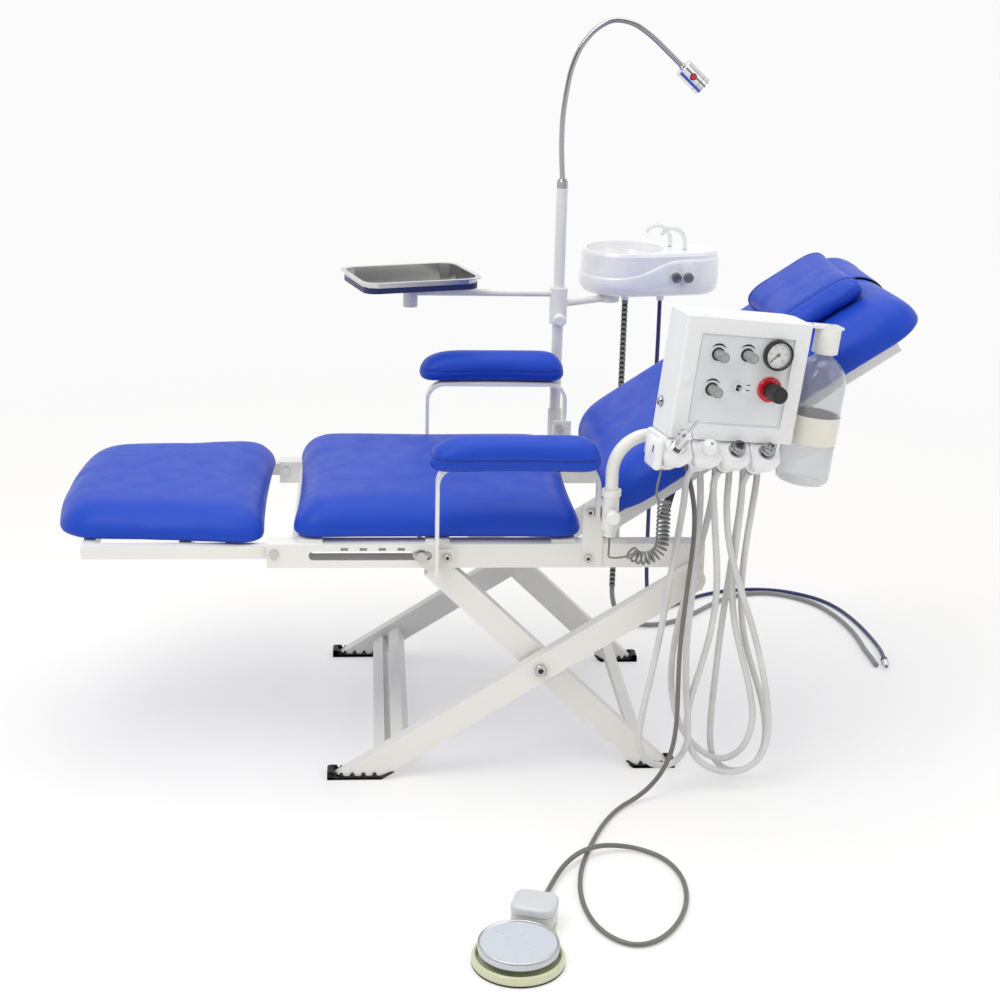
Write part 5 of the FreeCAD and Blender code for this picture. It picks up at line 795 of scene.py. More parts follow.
def islands(mesh):
    """The separate closed shells of a mesh, each as a list of its corners."""
    # A dict keeps the mesh's order, so that the shells come in the same order each run.
    left = dict.fromkeys(mesh.verts)
    shells = []
    while left:
        reached = [left.popitem()[0]]
        shell = []
        while reached:
            corner = reached.pop()
            shell.append(corner)
            for edge in corner.link_edges:
                near = edge.other_vert(corner)
                if near in left:
                    del left[near]
                    reached.append(near)
        shells.append(shell)
    return shells


def spread(corners, turn):
    """A box round some corners, along turned axes."""
    spots = [turn.transposed() @ corner.co for corner in corners]
    low = Vector([min(spot[axis] for spot in spots) for axis in range(3)])
    high = Vector([max(spot[axis] for spot in spots) for axis in range(3)])
    return low, high


def solid_copy(node, side=0):
    """A merged copy of a CAD node, or of its half on one side of the chair."""
    mesh = bmesh.new()
    mesh.from_mesh(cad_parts[node].data)
    bmesh.ops.remove_doubles(mesh, verts=mesh.verts, dist=2e-5)
    if side:
        wrong = [corner for corner in mesh.verts if (corner.co.y - CHAIR_MIDDLE) * side < 0]
        bmesh.ops.delete(mesh, geom=wrong, context="VERTS")
    bmesh.ops.recalc_face_normals(mesh, faces=mesh.faces)
    return mesh


def round_corners(mesh, low, high, corners):
    """Rounds the corners at the ends of a level cushion, seen from above."""
    middle = (low.y + high.y) / 2
    half = high.y - middle
    for end, radius in corners:
        centre = (high.x if end > 0 else low.x) - end * radius
        for corner in mesh.verts:
            off = Vector((corner.co.x - centre, abs(corner.co.y - middle) - (half - radius)))
            if off.x * end > 0 and off.y > 0 and off.length > radius:
                off *= radius / off.length
                corner.co.x = centre + off.x
                corner.co.y = middle + math.copysign(half - radius + off.y, corner.co.y - middle)


def crowned(data, turn, wall, reach, toe):
    """Lets a cushion's top fall off in a round towards its outline, down to a low wall."""
    spots = [turn.transposed() @ vertex.co for vertex in data.vertices]
    floor = min(spot.z for spot in spots)
    plan = [Vector((round(spot.x, 3), round(spot.y, 3))) for spot in spots]
    hull = [plan[index] for index in convex_hull_2d(plan)]
    sides = []
    for start, end in zip(hull, hull[1:] + hull[:1]):
        run = end - start
        if run.length > 0.001:
            out = Vector((run.y, -run.x)).normalized()
            if out.dot(start - sum(hull, Vector((0, 0))) / len(hull)) < 0:
                out = -out
            sides.append((out.x, out.y, start.dot(out), reach + toe * max(-out.x, 0.0)))
    up = turn @ Vector((0, 0, 1))
    for vertex, spot in zip(data.vertices, spots):
        share = min((limit - spot.x * x - spot.y * y) / wide for x, y, limit, wide in sides)
        share = 1.0 - min(max(share, 0.0), 1.0)
        fall = (1.0 - wall) * (1.0 - math.sqrt(1.0 - share * share))
        vertex.co -= up * ((spot.z - floor) * fall)


def fitted(mesh, turn, low, high):
    """Brings a cover back to its solid's box."""
    now_low, now_high = spread(mesh.verts, turn)
    for corner in mesh.verts:
        spot = turn.transposed() @ corner.co
        for axis in range(3):
            share = (spot[axis] - now_low[axis]) / (now_high[axis] - now_low[axis])
            spot[axis] = low[axis] + (high[axis] - low[axis]) * share
        corner.co = turn @ spot


def relaxed(start, swollen, cap, floor, axis):
    """Limits how far a cover's points move, and keeps its underside flat."""
    for before, after in zip(start.vertices, swollen.vertices):
        move = after.co - before.co
        if move.length > cap:
            move *= cap / move.length
        rise = before.co.dot(axis) - floor
        hold = min(max(rise / FLAT_FOOT, 0.0), 1.0)
        move -= axis * (min(move.dot(axis), 0.0) * (1.0 - hold))
        before.co += move * (0.25 + 0.75 * hold)


def cover(name, node, body, turn, cap, pressure, crown=None, side=0, corners=()):
    """A stuffed cover: the CAD solid's shape, blown up as cloth and finished smooth."""
    form = bpy.context.scene.chair_form
    shape = solid_copy(node, side)
    low, high = spread(shape.verts, turn)
    round_corners(shape, low, high, corners)
    obj = piece(name, shape, body, "blue_vinyl", "blue_vinyl")
    remesh = obj.modifiers.new("Weave", "REMESH")
    remesh.mode = "VOXEL"
    remesh.voxel_size = form.voxel
    start = baked(obj)
    obj.modifiers.clear()
    obj.data = start
    dress(obj, "blue_vinyl")
    if crown:
        crowned(start, turn, *crown)
    axis = turn @ Vector((0, 0, 1))
    floor = min(vertex.co.dot(axis) for vertex in start.vertices)
    cloth = obj.modifiers.new("Cover", "CLOTH")
    cloth.settings.use_pressure = True
    cloth.settings.uniform_pressure_force = pressure
    cloth.settings.tension_stiffness = CLOTH_STIFFNESS
    cloth.settings.compression_stiffness = CLOTH_STIFFNESS
    cloth.settings.bending_stiffness = 1.2
    cloth.settings.effector_weights.gravity = 0.0
    cloth.point_cache.frame_start = 1
    cloth.point_cache.frame_end = CLOTH_FRAMES
    for number in range(1, CLOTH_FRAMES + 1):
        bpy.context.scene.frame_set(number)
    swollen = baked(obj)
    obj.modifiers.clear()
    bpy.context.scene.frame_set(1)
    relaxed(start, swollen, cap, floor, axis)
    bpy.data.meshes.remove(swollen)
    mesh = bmesh.new()
    mesh.from_mesh(obj.data)
    axes = {"use_axis_x": True, "use_axis_y": True, "use_axis_z": True}
    for _ in range(SMOOTHING_PASSES):
        bmesh.ops.smooth_vert(mesh, verts=mesh.verts, factor=0.5, **axes)
    fitted(mesh, turn, low, high)
    mesh.to_mesh(obj.data)
    mesh.free()
    for polygon in obj.data.polygons:
        polygon.use_smooth = True
    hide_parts(node)
    return obj


def finer(obj):
    """One live subdivision, after a cover's grooves are pressed in."""
    smooth = obj.modifiers.new("Smooth", "SUBSURF")
    smooth.levels = 1
    smooth.render_levels = 1


def groove(obj, point, normal, depth, width):
    """Presses a sewn line into a cover, where a plane crosses it."""
    mesh = bmesh.new()
    mesh.from_mesh(obj.data)
    mesh.normal_update()
    for corner in mesh.verts:
        off = (corner.co - Vector(point)).dot(Vector(normal)) / width
        corner.co -= corner.normal * (depth * math.exp(-off * off))
    mesh.to_mesh(obj.data)
    mesh.free()


def loop_points(obj, point, normal):
    """The ordered line where a plane crosses a cover, with the way out at each point."""
    mesh = bmesh.new()
    mesh.from_mesh(obj.data)
    mesh.normal_update()
    geom = mesh.verts[:] + mesh.edges[:] + mesh.faces[:]
    cut = bmesh.ops.bisect_plane(mesh, geom=geom, plane_co=Vector(point), plane_no=Vector(normal))
    edges = {item for item in cut["geom_cut"] if isinstance(item, bmesh.types.BMEdge)}
    # A dict keeps the order of the cut, so that the walk starts at the same point each run.
    corners = dict.fromkeys(v for v in cut["geom_cut"] if isinstance(v, bmesh.types.BMVert))
    mesh.normal_update()
    best = []
    while corners:
        here = corners.popitem()[0]
        walk = [here]
        for _ in range(2):
            while True:
                near = [e.other_vert(here) for e in here.link_edges if e in edges]
                near = [v for v in near if v in corners]
                if not near:
                    break
                here = near[0]
                del corners[here]
                walk.append(here)
            walk.reverse()
            here = walk[-1]
        if len(walk) > len(best):
            best = walk
    line_points = [(v.co.copy(), v.normal.copy()) for v in best]
    mesh.free()
    return line_points


def stitches(name, lines, body, gap=0.0022, radius=0.00046, lift=0.0001):
    """Rows of short thread stitches along ordered lines."""
    mesh = bmesh.new()
    for points in lines:
        run = 0.0
        wait = 0.0
        for (a, out_a), (b, out_b) in zip(points, points[1:]):
            step = (b - a).length
            if step < 1e-7 or step > 0.02:
                continue
            while wait <= run + step:
                share = (wait - run) / step
                at = a.lerp(b, share) + out_a.lerp(out_b, share).normalized() * lift
                place = along(at, b - a)
                made = bmesh.ops.create_icosphere(mesh, subdivisions=1, radius=radius)["verts"]
                bmesh.ops.scale(mesh, vec=(1.0, 1.0, STITCH / radius / 2), verts=made)
                bmesh.ops.transform(mesh, matrix=place, verts=made)
                wait += STITCH + gap
            run += step
    return piece(name, mesh, body, "blue_strap", "blue_thread")


def seam_line(name, loops, body, radius):
    """A thin dark line along sewn loops, half sunk in the cover."""
    mesh = bmesh.new()
    for points in loops:
        path = points[:1]
        for spot in points[1:]:
            if (spot[0] - path[-1][0]).length > 0.0025 and (spot[0] - path[0][0]).length > 0.002:
                path.append(spot)
        bead(mesh, path, radius)
    return piece(name, mesh, body, "blue_strap", "seam_blue")


class CHAIR_OT_cushions(Step, bpy.types.Operator):
    """Seat, leg rest and back cushions, stuffed and covered in vinyl"""

    bl_idname = "chair.cushions"
    bl_label = "Cushions"

    def build(self, form):
        level = Matrix.Identity(3)
        seats = (
            ("seat_cover", "seat_cushion", "seat_frame", level, ()),
            ("legrest_cover", "legrest_cushion", "leg_rest", level, ((-1, 0.1),)),
            ("backrest_cover", "backrest_cushion", "back_rest", BACK.to_3x3(), ()),
        )
        for name, node, body, turn, corners in seats:
            crown = (form.wall, 0.06, 0.0)
            finer(cover(name, node, body, turn, form.swell, form.pressure, crown, corners=corners))


class CHAIR_OT_pads(Step, bpy.types.Operator):
    """Arm pads with a stitched seam round their sides"""

    bl_idname = "chair.pads"
    bl_label = "Arm pads"

    def build(self, form):
        low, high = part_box("armrest_pads")
        level = low.z + (high.z - low.z) * 0.42
        for side, name in ((-1, "near"), (1, "far")):
            pad = cover(
                name + "_arm_pad",
                "armrest_pads",
                "seat_frame",
                Matrix.Identity(3),
                cap=0.0045,
                pressure=form.pressure,
                crown=(0.46, 0.036, 0.05),
                side=side,
                corners=((-1, 0.038), (1, 0.03)),
            )
            seam = Vector((0.0, 0.0, level))
            groove(pad, seam, (0, 0, 1), 0.0014, 0.0022)
            rows = [loop_points(pad, seam + Vector((0, 0, 0.0034)), (0, 0, 1))]
            thread = stitches(name + "_pad_stitches", rows, "seat_frame")
            sewn = seam_line(name + "_pad_seam", [loop_points(pad, seam, (0, 0, 1))], "seat_frame", 0.0009)
            finer(pad)
            for made in (thread, sewn):
                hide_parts("armrest_pads")


# The point that the strap's line goes round, up the back rest and out of it.
STRAP_CENTRE = (0.59, 0.03)


class CHAIR_OT_pillow(Step, bpy.types.Operator):
    """Head pillow with sewn ends, and the strap that holds it over the back rest's top"""

    bl_idname = "chair.pillow"
    bl_label = "Head pillow"

    def build(self, form):
        turn = BACK.to_3x3()
        pillow = cover("pillow_cover", "head_pillow", "back_rest", turn, 0.006, form.pressure)
        low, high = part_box("head_pillow")
        rows = []
        seams = []
        for y, inward in ((low.y + 0.034, 1), (high.y - 0.034, -1)):
            groove(pillow, (0, y, 0), (0, 1, 0), 0.0022, 0.004)
            seams.append(loop_points(pillow, (0, y, 0), (0, 1, 0)))
            rows.append(loop_points(pillow, (0, y + 0.0042 * inward, 0), (0, 1, 0)))
        thread = stitches("pillow_stitches", rows, "back_rest", gap=0.0024)
        for made in (thread, seam_line("pillow_seams", seams, "back_rest", 0.0012)):
            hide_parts("head_pillow")
        finer(pillow)
        self.strap()

    def strap(self):
        low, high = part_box("head_strap")
        route = self.route((low.y + high.y) / 2 - CHAIR_MIDDLE)
        mesh = bmesh.new()
        corners = [mesh.verts.new(BACK @ Vector((s, low.y - CHAIR_MIDDLE, n))) for s, n in route]
        edges = [mesh.edges.new(pair) for pair in zip(corners, corners[1:])]
        wide = high.y - low.y
        grown = bmesh.ops.extrude_edge_only(mesh, edges=edges)["geom"]
        moved = [item for item in grown if isinstance(item, bmesh.types.BMVert)]
        bmesh.ops.translate(mesh, vec=(0, wide, 0), verts=moved)
        cross = [edge for edge in mesh.edges if abs(edge.verts[0].co.y - edge.verts[1].co.y) > wide * 0.5]
        bmesh.ops.subdivide_edges(mesh, edges=cross, cuts=8, use_grid_fill=True)
        bmesh.ops.recalc_face_normals(mesh, faces=mesh.faces)
        band = piece("head_band", mesh, "back_rest", "blue_strap", "blue_vinyl", "black_rubber")
        thick = band.modifiers.new("Thickness", "SOLIDIFY")
        thick.thickness = 0.0022
        thick.offset = 0.0
        thick.material_offset = 1
        thick.material_offset_rim = 1
        finer(band)
        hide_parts("head_strap")
        out = BACK.to_3x3()
        rows = []
        for y in (low.y + 0.007, high.y - 0.007):
            path = [BACK @ Vector((s, y - CHAIR_MIDDLE, n)) for s, n in route[1:8]]
            spots = [(s - STRAP_CENTRE[0], 0, n - STRAP_CENTRE[1]) for s, n in route[1:8]]
            ways = [out @ Vector(spot).normalized() for spot in spots]
            rows.append(list(zip(path, ways)))
        thread = stitches("band_stitches", rows, "back_rest", radius=0.00042, lift=0.0012)
        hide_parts("head_strap")

    def route(self, y):
        """The band's line over the back cover's head end, then under its board."""
        back = BVHTree.FromObject(bpy.data.objects["backrest_cover"], bpy.context.evaluated_depsgraph_get())
        points = []
        for index in range(12):
            angle = math.radians(112 - 12.5 * index)
            way = Vector((math.cos(angle), 0, math.sin(angle)))
            start = Vector((STRAP_CENTRE[0], y, STRAP_CENTRE[1])) + way * 0.2
            spot = back.ray_cast(BACK @ start, BACK.to_3x3() @ -way)[0]
            spot = BACK.inverted() @ spot + way * 0.0017
            points.append((spot.x, spot.z))
        return points + mm((627, 9.6), (612, 9.2), (593, 9.2))


FLOW_KNOBS = (
    ("flow_knob_one", "flow_knob_upper_left", -0.046, 0.04),
    ("flow_knob_two", "flow_knob_upper_right", 0.003, 0.042),
    ("flow_knob_three", "flow_knob_lower_left", -0.047, -0.016),
)
# Depths in the unit's frame, and a turn that faces the unit's arm side.
PANEL_DEPTH = -0.0395
DIAL_DEPTH = -0.0436
GLASS_DEPTH = -0.0505
SIDEWAYS = Matrix.Rotation(math.radians(-90), 4, "Y")
GAUGE = (0.053, 0.046)
REGULATOR = (0.05, -0.01)


class CHAIR_OT_panel(Step, bpy.types.Operator):
    """Gauge dial, marks, trims and knob grips on the delivery unit's front"""

    bl_idname = "chair.panel"
    bl_label = "Control panel"

    def build(self, form):
        self.gauge()
        self.marks()
        self.trims()
        self.knobs()

    def gauge(self):
        mesh = bmesh.new()
        dial = on_face(*GAUGE, DIAL_DEPTH)
        lathe(mesh, mm((0, 0), (20.6, 0), (20.6, 0.3), (0, 0.3)), dial, 0, 48)
        for index in range(51):
            angle = math.radians(225 - 5.4 * index)
            long = 0.0036 if index % 10 == 0 else 0.0026 if index % 5 == 0 else 0.0018
            wide = 0.00032 if index % 5 == 0 else 0.00016
            spot = Matrix.Rotation(angle, 4, "Z") @ Matrix.Translation((0.0194 - long, 0, 0.0003))
            flat(mesh, ((0, -wide), (long, -wide), (long, wide), (0, wide)), dial @ spot, 0.00008, 1)
        for index in range(6):
            angle = math.radians(225 - 54 * index)
            spot = Matrix.Translation((0.0128 * math.cos(angle), 0.0128 * math.sin(angle), 0.00035))
            numeral(mesh, str(index * 2), 0.0048, dial @ spot, 1)
        piece("gauge_dial", mesh, "delivery_unit", "knob_white", "dial_white", "ink_and_hole_shade")
        mesh = bmesh.new()
        front = on_face(*GAUGE, GLASS_DEPTH)
        lip = mm((20.6, -1.2), (20.8, 0.6), (21.6, 1.4), (22.8, 1.3), (23.7, 0.5), (23.8, -1.2))
        hoop(mesh, lip, front, 0, 56)
        piece("gauge_lip", mesh, "delivery_unit", "knob_black", "black_plastic")
        mesh = bmesh.new()
        pane = mm((0, -1.2), (20.4, -1.2), (20.4, -0.6), (12, -0.3), (0, -0.1))
        lathe(mesh, pane, front, 0, 48)
        piece("gauge_glass", mesh, "delivery_unit", "clear_plastic", "gauge_glass")

    def marks(self):
        mesh = bmesh.new()
        for *_, x, z in FLOW_KNOBS:
            outer = []
            inner = []
            for index in range(25):
                angle = math.radians(38 + 104 * index / 24)
                half = 0.0015 * math.sin(math.pi * index / 24) + 0.0001
                outer.append(((0.0156 + half) * math.cos(angle), (0.0156 + half) * math.sin(angle)))
                inner.append(((0.0156 - half) * math.cos(angle), (0.0156 - half) * math.sin(angle)))
            flat(mesh, outer + inner[::-1], on_face(x, z, PANEL_DEPTH), 0.00012)
        for z in (-0.0058, -0.0142):
            flat(mesh, rounded(0.0031, 0.0008, 0.0004), on_face(0.0142, z, PANEL_DEPTH), 0.00012)
        piece("panel_marks", mesh, "delivery_unit", "needle_black", "ink_and_hole_shade")

    def trims(self):
        mesh = bmesh.new()
        edge = [UNIT @ Vector((x, PANEL_DEPTH - 0.0001, z)) for x, z in rounded(0.0765, 0.0685, 0.005)]
        out = UNIT.to_3x3() @ Vector((0, -1, 0))
        bead(mesh, [(point, out) for point in edge], 0.0008)
        rim = [UNIT @ Vector((x, -0.0315, z)) for x, z in rounded(0.1066, 0.0971, 0.005)]
        bead(mesh, [(point, out) for point in rim], 0.0013)
        for side in (-1, 1):
            clip = on_face(0.0925 * side, -0.004, -0.0425)
            skinned(mesh, layered(0.0105, 0.01, 0.0015, mm((0, -0.4), (0, 0.3), (0.5, 0.8))), clip)
            step = clip @ Matrix.Translation((0, 0.001, 0))
            skinned(mesh, layered(0.0062, 0.0056, 0.001, mm((0, 0), (0, 1.2), (0.6, 1.7))), step)
        piece("case_trims", mesh, "delivery_unit", "case_white", "case_coat")
        mesh = bmesh.new()
        side = UNIT @ Matrix.Translation((-0.1065, 0.01, -0.052)) @ SIDEWAYS
        dome = mm(
            (0, 7.2), (3.6, 6.6), (6.4, 4.6), (7.6, 1.8), (7.7, 0.8), (9.4, 0.7), (9.4, -0.2),
            (0, -0.2),
        )
        lathe(mesh, dome, side)
        plate = UNIT @ Matrix.Translation((0.0, 0.0, 0.092))
        for x in (0.124, 0.158):
            cap = mm((0, 1.7), (1.6, 1.5), (2.6, 0.6), (2.8, -0.2), (0, -0.2))
            lathe(mesh, cap, plate @ Matrix.Translation((x, 0.0, 0.0)), 0, 20)
        piece("case_screws", mesh, "delivery_unit", "zinc", "dark_chrome")

    def knobs(self):
        for body, node, x, z in FLOW_KNOBS:
            mesh = bmesh.new()
            grips(mesh, 18, 0.0078, 0.009, 0.0262, 0.0013, on_face(x, z, PANEL_DEPTH))
            end = mm((6.4, 27.9), (6.4, 28.3), (7.2, 28.3), (7.7, 27.9))
            hoop(mesh, end, on_face(x, z, PANEL_DEPTH), 0, 28)
            piece(node + "_grip", mesh, body, "knob_white", "knob_grey")
        # Partly painted shade: a raised black ring round each knob's base stands for the shadow ring there.
        mesh = bmesh.new()
        for *_, x, z in FLOW_KNOBS:
            shade_ring = mm((8.5, 0), (10.8, 0), (10.6, 1.4), (9.8, 2.4), (8.5, 2.6))
            hoop(mesh, shade_ring, on_face(x, z, PANEL_DEPTH), 0, 32)
        piece("knob_shade_rings", mesh, "delivery_unit", "knob_black", "black_plastic")
        mesh = bmesh.new()
        grips(mesh, 16, 0.0126, 0.0145, 0.0395, 0.0021, on_face(*REGULATOR, PANEL_DEPTH))
        end = mm((9.8, 43.9), (9.8, 44.4), (11.8, 44.4), (12.7, 43.8))
        hoop(mesh, end, on_face(*REGULATOR, PANEL_DEPTH), 0, 36)
        piece("regulator_grip", mesh, "regulator", "knob_black", "black_plastic")


MOUTHS = (-0.092, -0.04, 0.008, 0.06)


def mouth_place(x):
    """A holder's mouth: +Z leans out and up along the handpiece."""
    return UNIT @ Matrix.Translation((x, -0.05, -0.109)) @ Matrix.Rotation(math.radians(45), 4, "X")


class CHAIR_OT_holders(Step, bpy.types.Operator):
    """Row of rounded handpiece holders, and the ends of what hangs in them"""

    bl_idname = "chair.holders"
    bl_label = "Handpiece holders"

    def build(self, form):
        mesh = bmesh.new()
        for x in MOUTHS:
            self.lobe(mesh, mouth_place(x))
        for x, half in zip(MOUTHS, (0.0258, 0.0251, 0.0255, 0.0255)):
            self.module(mesh, x, half)
        for low, high in ((-0.1155, -0.0155), (-0.0145, 0.0345), (0.0365, 0.0855)):
            middle = UNIT @ Matrix.Translation(((low + high) / 2, 0.0, -0.12075))
            slab(mesh, (high - low, 0.06, 0.0445), middle, 0.005)
        end = UNIT @ Matrix.Translation((-0.1232, -0.034, -0.1235))
        slab(mesh, (0.0135, 0.05, 0.05), end, 0.0064)
        row = piece("holder_row", mesh, "delivery_unit", "holder_white", "gloss_moulding")
        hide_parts("handpiece_holders")
        # Painted shade: a flat black mark on the end of the row stands for its slot hole.
        mesh = bmesh.new()
        slot = UNIT @ Matrix.Translation((-0.12995, -0.043, -0.116)) @ SIDEWAYS
        flat(mesh, rounded(0.0062, 0.0022, 0.0021), slot, 0.0002)
        piece("holder_slot_shade", mesh, "delivery_unit", "needle_black", "ink_and_hole_shade")
        self.ends()

    def module(self, mesh, x, half):
        """One holder body: its front slopes out below the case and narrows to a prow."""
        levels = mm(
            (-98.2, -34.5, 1.2, 2), (-99.2, -36.5, 0, 3), (-108, -45.5, 0, 4), (-116.5, -54, 0, 5),
            (-121.5, -58.2, 0, 5.5), (-126.5, -59.2, 1.2, 6), (-133, -57.2, 4.5, 6.5),
            (-139.5, -52, 8.8, 6.5), (-144.2, -45.5, 11.8, 6), (-146.2, -39.5, 13.8, 5),
        )
        rings = []
        for z, front, narrow, corner in levels:
            deep = (0.01 - front) / 2
            rings.append([(x + a, 0.01 - deep + b, z) for a, b in rounded(half - narrow, deep, corner)])
        skinned(mesh, rings, UNIT)

    def lobe(self, mesh, place):
        section = mm(
            (12.2, 12.2, -30), (12.2, 12.2, -1.2), (13.2, 13.2, 0), (16.4, 15.2, 0), (18.2, 16.6, -1.2),
            (19.2, 17.3, -3.6), (19.6, 17.6, -12), (19.4, 17, -30), (18.2, 15.8, -44),
            (15.8, 14.2, -50), (12.8, 12.2, -52.5), (9.2, 9.2, -52.5), (9.2, 9.2, -34),
        )
        angles = [2 * math.pi * index / 48 for index in range(48)]
        rings = [[(a * math.cos(t), b * math.sin(t), w) for t in angles] for a, b, w in section]
        skinned(mesh, rings, place, 0, True)

    def ends(self):
        stem = mm((0, -62), (8.5, -62), (8.5, -12), (11.6, -11.5), (11.6, 0), (13.7, 0.4))
        cap = mm((13.7, 3), (12.9, 8.5), (10.4, 13.1), (6, 15.4), (2.4, 15.7), (2.1, 12), (0, 12))
        mesh = bmesh.new()
        lathe(mesh, stem + cap, mouth_place(MOUTHS[1]), 0, 40)
        # Painted shade: a black disc at the bottom of the cap's hole.
        lathe(mesh, mm((0, 12.4), (1.9, 12.4), (0, 12.6)), mouth_place(MOUTHS[1]), 1, 16)
        caps = piece("handpiece_cap", mesh, "delivery_unit", "holder_white", "gloss_moulding", "ink_and_hole_shade")
        mesh = bmesh.new()
        steps = mm(
            (13.7, 2.8), (10.5, 3), (10.5, 7), (9.8, 7.8), (9.8, 10.2), (10.5, 11), (10.5, 13.6),
            (9.2, 15.8), (7.8, 15.8), (7.4, 13.4), (0, 13.4),
        )
        for x in MOUTHS[2:]:
            lathe(mesh, stem + steps, mouth_place(x), 0, 40)
            # Painted shade: four small black discs stand for the holes in each coupling's face.
            for index in range(4):
                turn = Matrix.Rotation(math.pi / 2 * index + 0.4, 4, "Z")
                spot = mouth_place(x) @ turn @ Matrix.Translation((0.0043, 0, 0.0134))
                lathe(mesh, mm((0, 0.2), (1.2, 0.2), (1.4, -0.1)), spot, 1, 14)
        metal_ends = piece("handpiece_couplings", mesh, "delivery_unit", "chrome_parts", "dark_chrome", "ink_and_hole_shade")
        for made in (caps, metal_ends):
            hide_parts("hose_couplings")


class CHAIR_OT_bottle(Step, bpy.types.Operator):
    """Clear water bottle with a band round it"""

    bl_idname = "chair.bottle"
    bl_label = "Water bottle"

    def build(self, form):
        axis = UNIT @ Matrix.Translation((0.155, 0.0, 0.0))
        outer = mm(
            (0, -162.5), (20, -163.7), (31.5, -167), (37.8, -166.4), (42.5, -161), (43.8, -152),
            (43.8, -101), (43.3, -99.5), (43.3, -50.5), (43.8, -49), (43.8, -8), (43.1, 2),
            (40.4, 13.5), (35.5, 23.8), (28.5, 32.2), (21, 38.2), (15.8, 41.8), (14.1, 45.5), (14, 83),
        )
        wall = 0.0012
        bottom = -0.15
        inner = [(max(radius - wall, 0.0), height + wall * (height < bottom)) for radius, height in outer]
        mesh = bmesh.new()
        lathe(mesh, outer + inner[::-1], axis, 0, 56)
        bottle = piece("bottle_shell", mesh, "delivery_unit", "bottle_plastic", "bottle_clear")
        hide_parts("water_bottle")
        mesh = bmesh.new()
        band = mm((43.6, -97.8), (44.4, -98.2), (44.6, -97.4), (44.6, -52.6), (44.4, -51.8), (43.6, -52.2))
        hoop(mesh, band, axis, 0, 64)
        neck_ring = mm((14.1, 45.5), (16.5, 45.8), (16.5, 47.4), (14.1, 47.8))
        hoop(mesh, neck_ring, axis, 0, 40)
        piece("bottle_band", mesh, "delivery_unit", "knob_white", "cream_plastic")


PEDAL = Matrix.Translation((0.02065, -0.65975, 0.0)) @ Matrix.Rotation(math.radians(71.8), 4, "Z")


class CHAIR_OT_pedal(Step, bpy.types.Operator):
    """Foot pedal's ring, skirt and housing"""

    bl_idname = "chair.pedal"
    bl_label = "Foot pedal"

    def build(self, form):
        mesh = bmesh.new()
        dish = mm(
            (0, 1.2), (12, 1.2), (12.5, 2.8), (66.4, 2.8), (67, 3.6), (66.8, 9.6), (65.6, 12.8),
            (63.6, 14.8), (61.6, 15), (60.4, 14.2), (60, 12.6), (60, 4), (16.2, 4), (16, 14.2),
            (8.4, 14.4), (8.4, 2), (0, 2),
        )
        lathe(mesh, dish, PEDAL, 0, 72)
        self.skirt(mesh)
        sole = mm((14, 0), (66.4, 0), (66.8, 0.6), (66.8, 2.4), (66.2, 3), (14, 3))
        hoop(mesh, sole, PEDAL, 2, 72)
        place = PEDAL @ Matrix.Translation((0.0995, 0.0, 0.0))
        low = mm((2.2, 0), (1, 1.2), (1, 29.5), (2.2, 30.4))
        lid = mm((1.2, 30.4), (0, 31.6), (0, 39.8), (1.2, 42.4), (3.6, 43.8), (6, 44))
        skinned(mesh, layered(0.0295, 0.033, 0.017, low), place, 1)
        skinned(mesh, layered(0.0295, 0.033, 0.017, lid), place, 1)
        looks = ("cream_ring", "pale_grey_plastic", "black_rubber")
        base = piece("pedal_shell", mesh, "delivery_unit", "pedal_yellow", *looks)
        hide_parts("pedal_base")
        mesh = bmesh.new()
        rim = mm((55.6, 32.8), (56.2, 33.3), (57.2, 33.4), (57.9, 32.9), (58.1, 31.8), (57.4, 31.6))
        hoop(mesh, rim, PEDAL, 0, 72)
        piece("pedal_rim", mesh, "pedal", "pedal_silver", "zinc_plate")

    def skirt(self, mesh):
        inner = [math.radians(52 - 104 * index / 20) for index in range(21)]
        wall = [(0.0635 * math.cos(angle), 0.0635 * math.sin(angle)) for angle in inner]
        shoulder = [(0.0668 * math.cos(inner[0]), 0.0668 * math.sin(inner[0])), (0.085, 0.0352), (0.1, 0.033)]
        far = [(x, -y) for x, y in shoulder]
        flat(mesh, wall + far + shoulder[::-1], PEDAL @ Matrix.Translation((0, 0, 0.0006)), 0.009, 0)


class CHAIR_OT_lamp(Step, bpy.types.Operator):
    """Lamp head's lens, rings and button surround"""

    bl_idname = "chair.lamp"
    bl_label = "Lamp"

    def build(self, form):
        way = Vector((23.0, 0.0, -21.0)).normalized()
        foot = Vector((0.39065, 0.53825, 1.15))
        axis = along(foot, way)
        mesh = bmesh.new()
        lens = mm((0, 52.9), (15.4, 52.9), (15.4, 54.2), (12.8, 55.4), (8, 56.4), (0, 56.9))
        lathe(mesh, lens, axis, 0, 40)
        for height in (0.0445, 0.0535):
            ring = mm((17.8, 0), (18.2, 0.4), (18.2, 1.4), (17.8, 1.8))
            hoop(mesh, ring, axis @ Matrix.Translation((0, 0, height)), 1, 48)
        spot = along(foot + way * 0.029 + Vector((0.0, -0.018, 0.0)), (0, -1, 0))
        surround = mm((5.2, -2), (6.8, -2), (6.6, 0.4), (5.8, 1), (5.2, 1))
        hoop(mesh, surround, spot, 2, 28)
        piece("lamp_front", mesh, "lamp", "chrome_parts", "lamp_lens", "dark_chrome", "black_plastic")


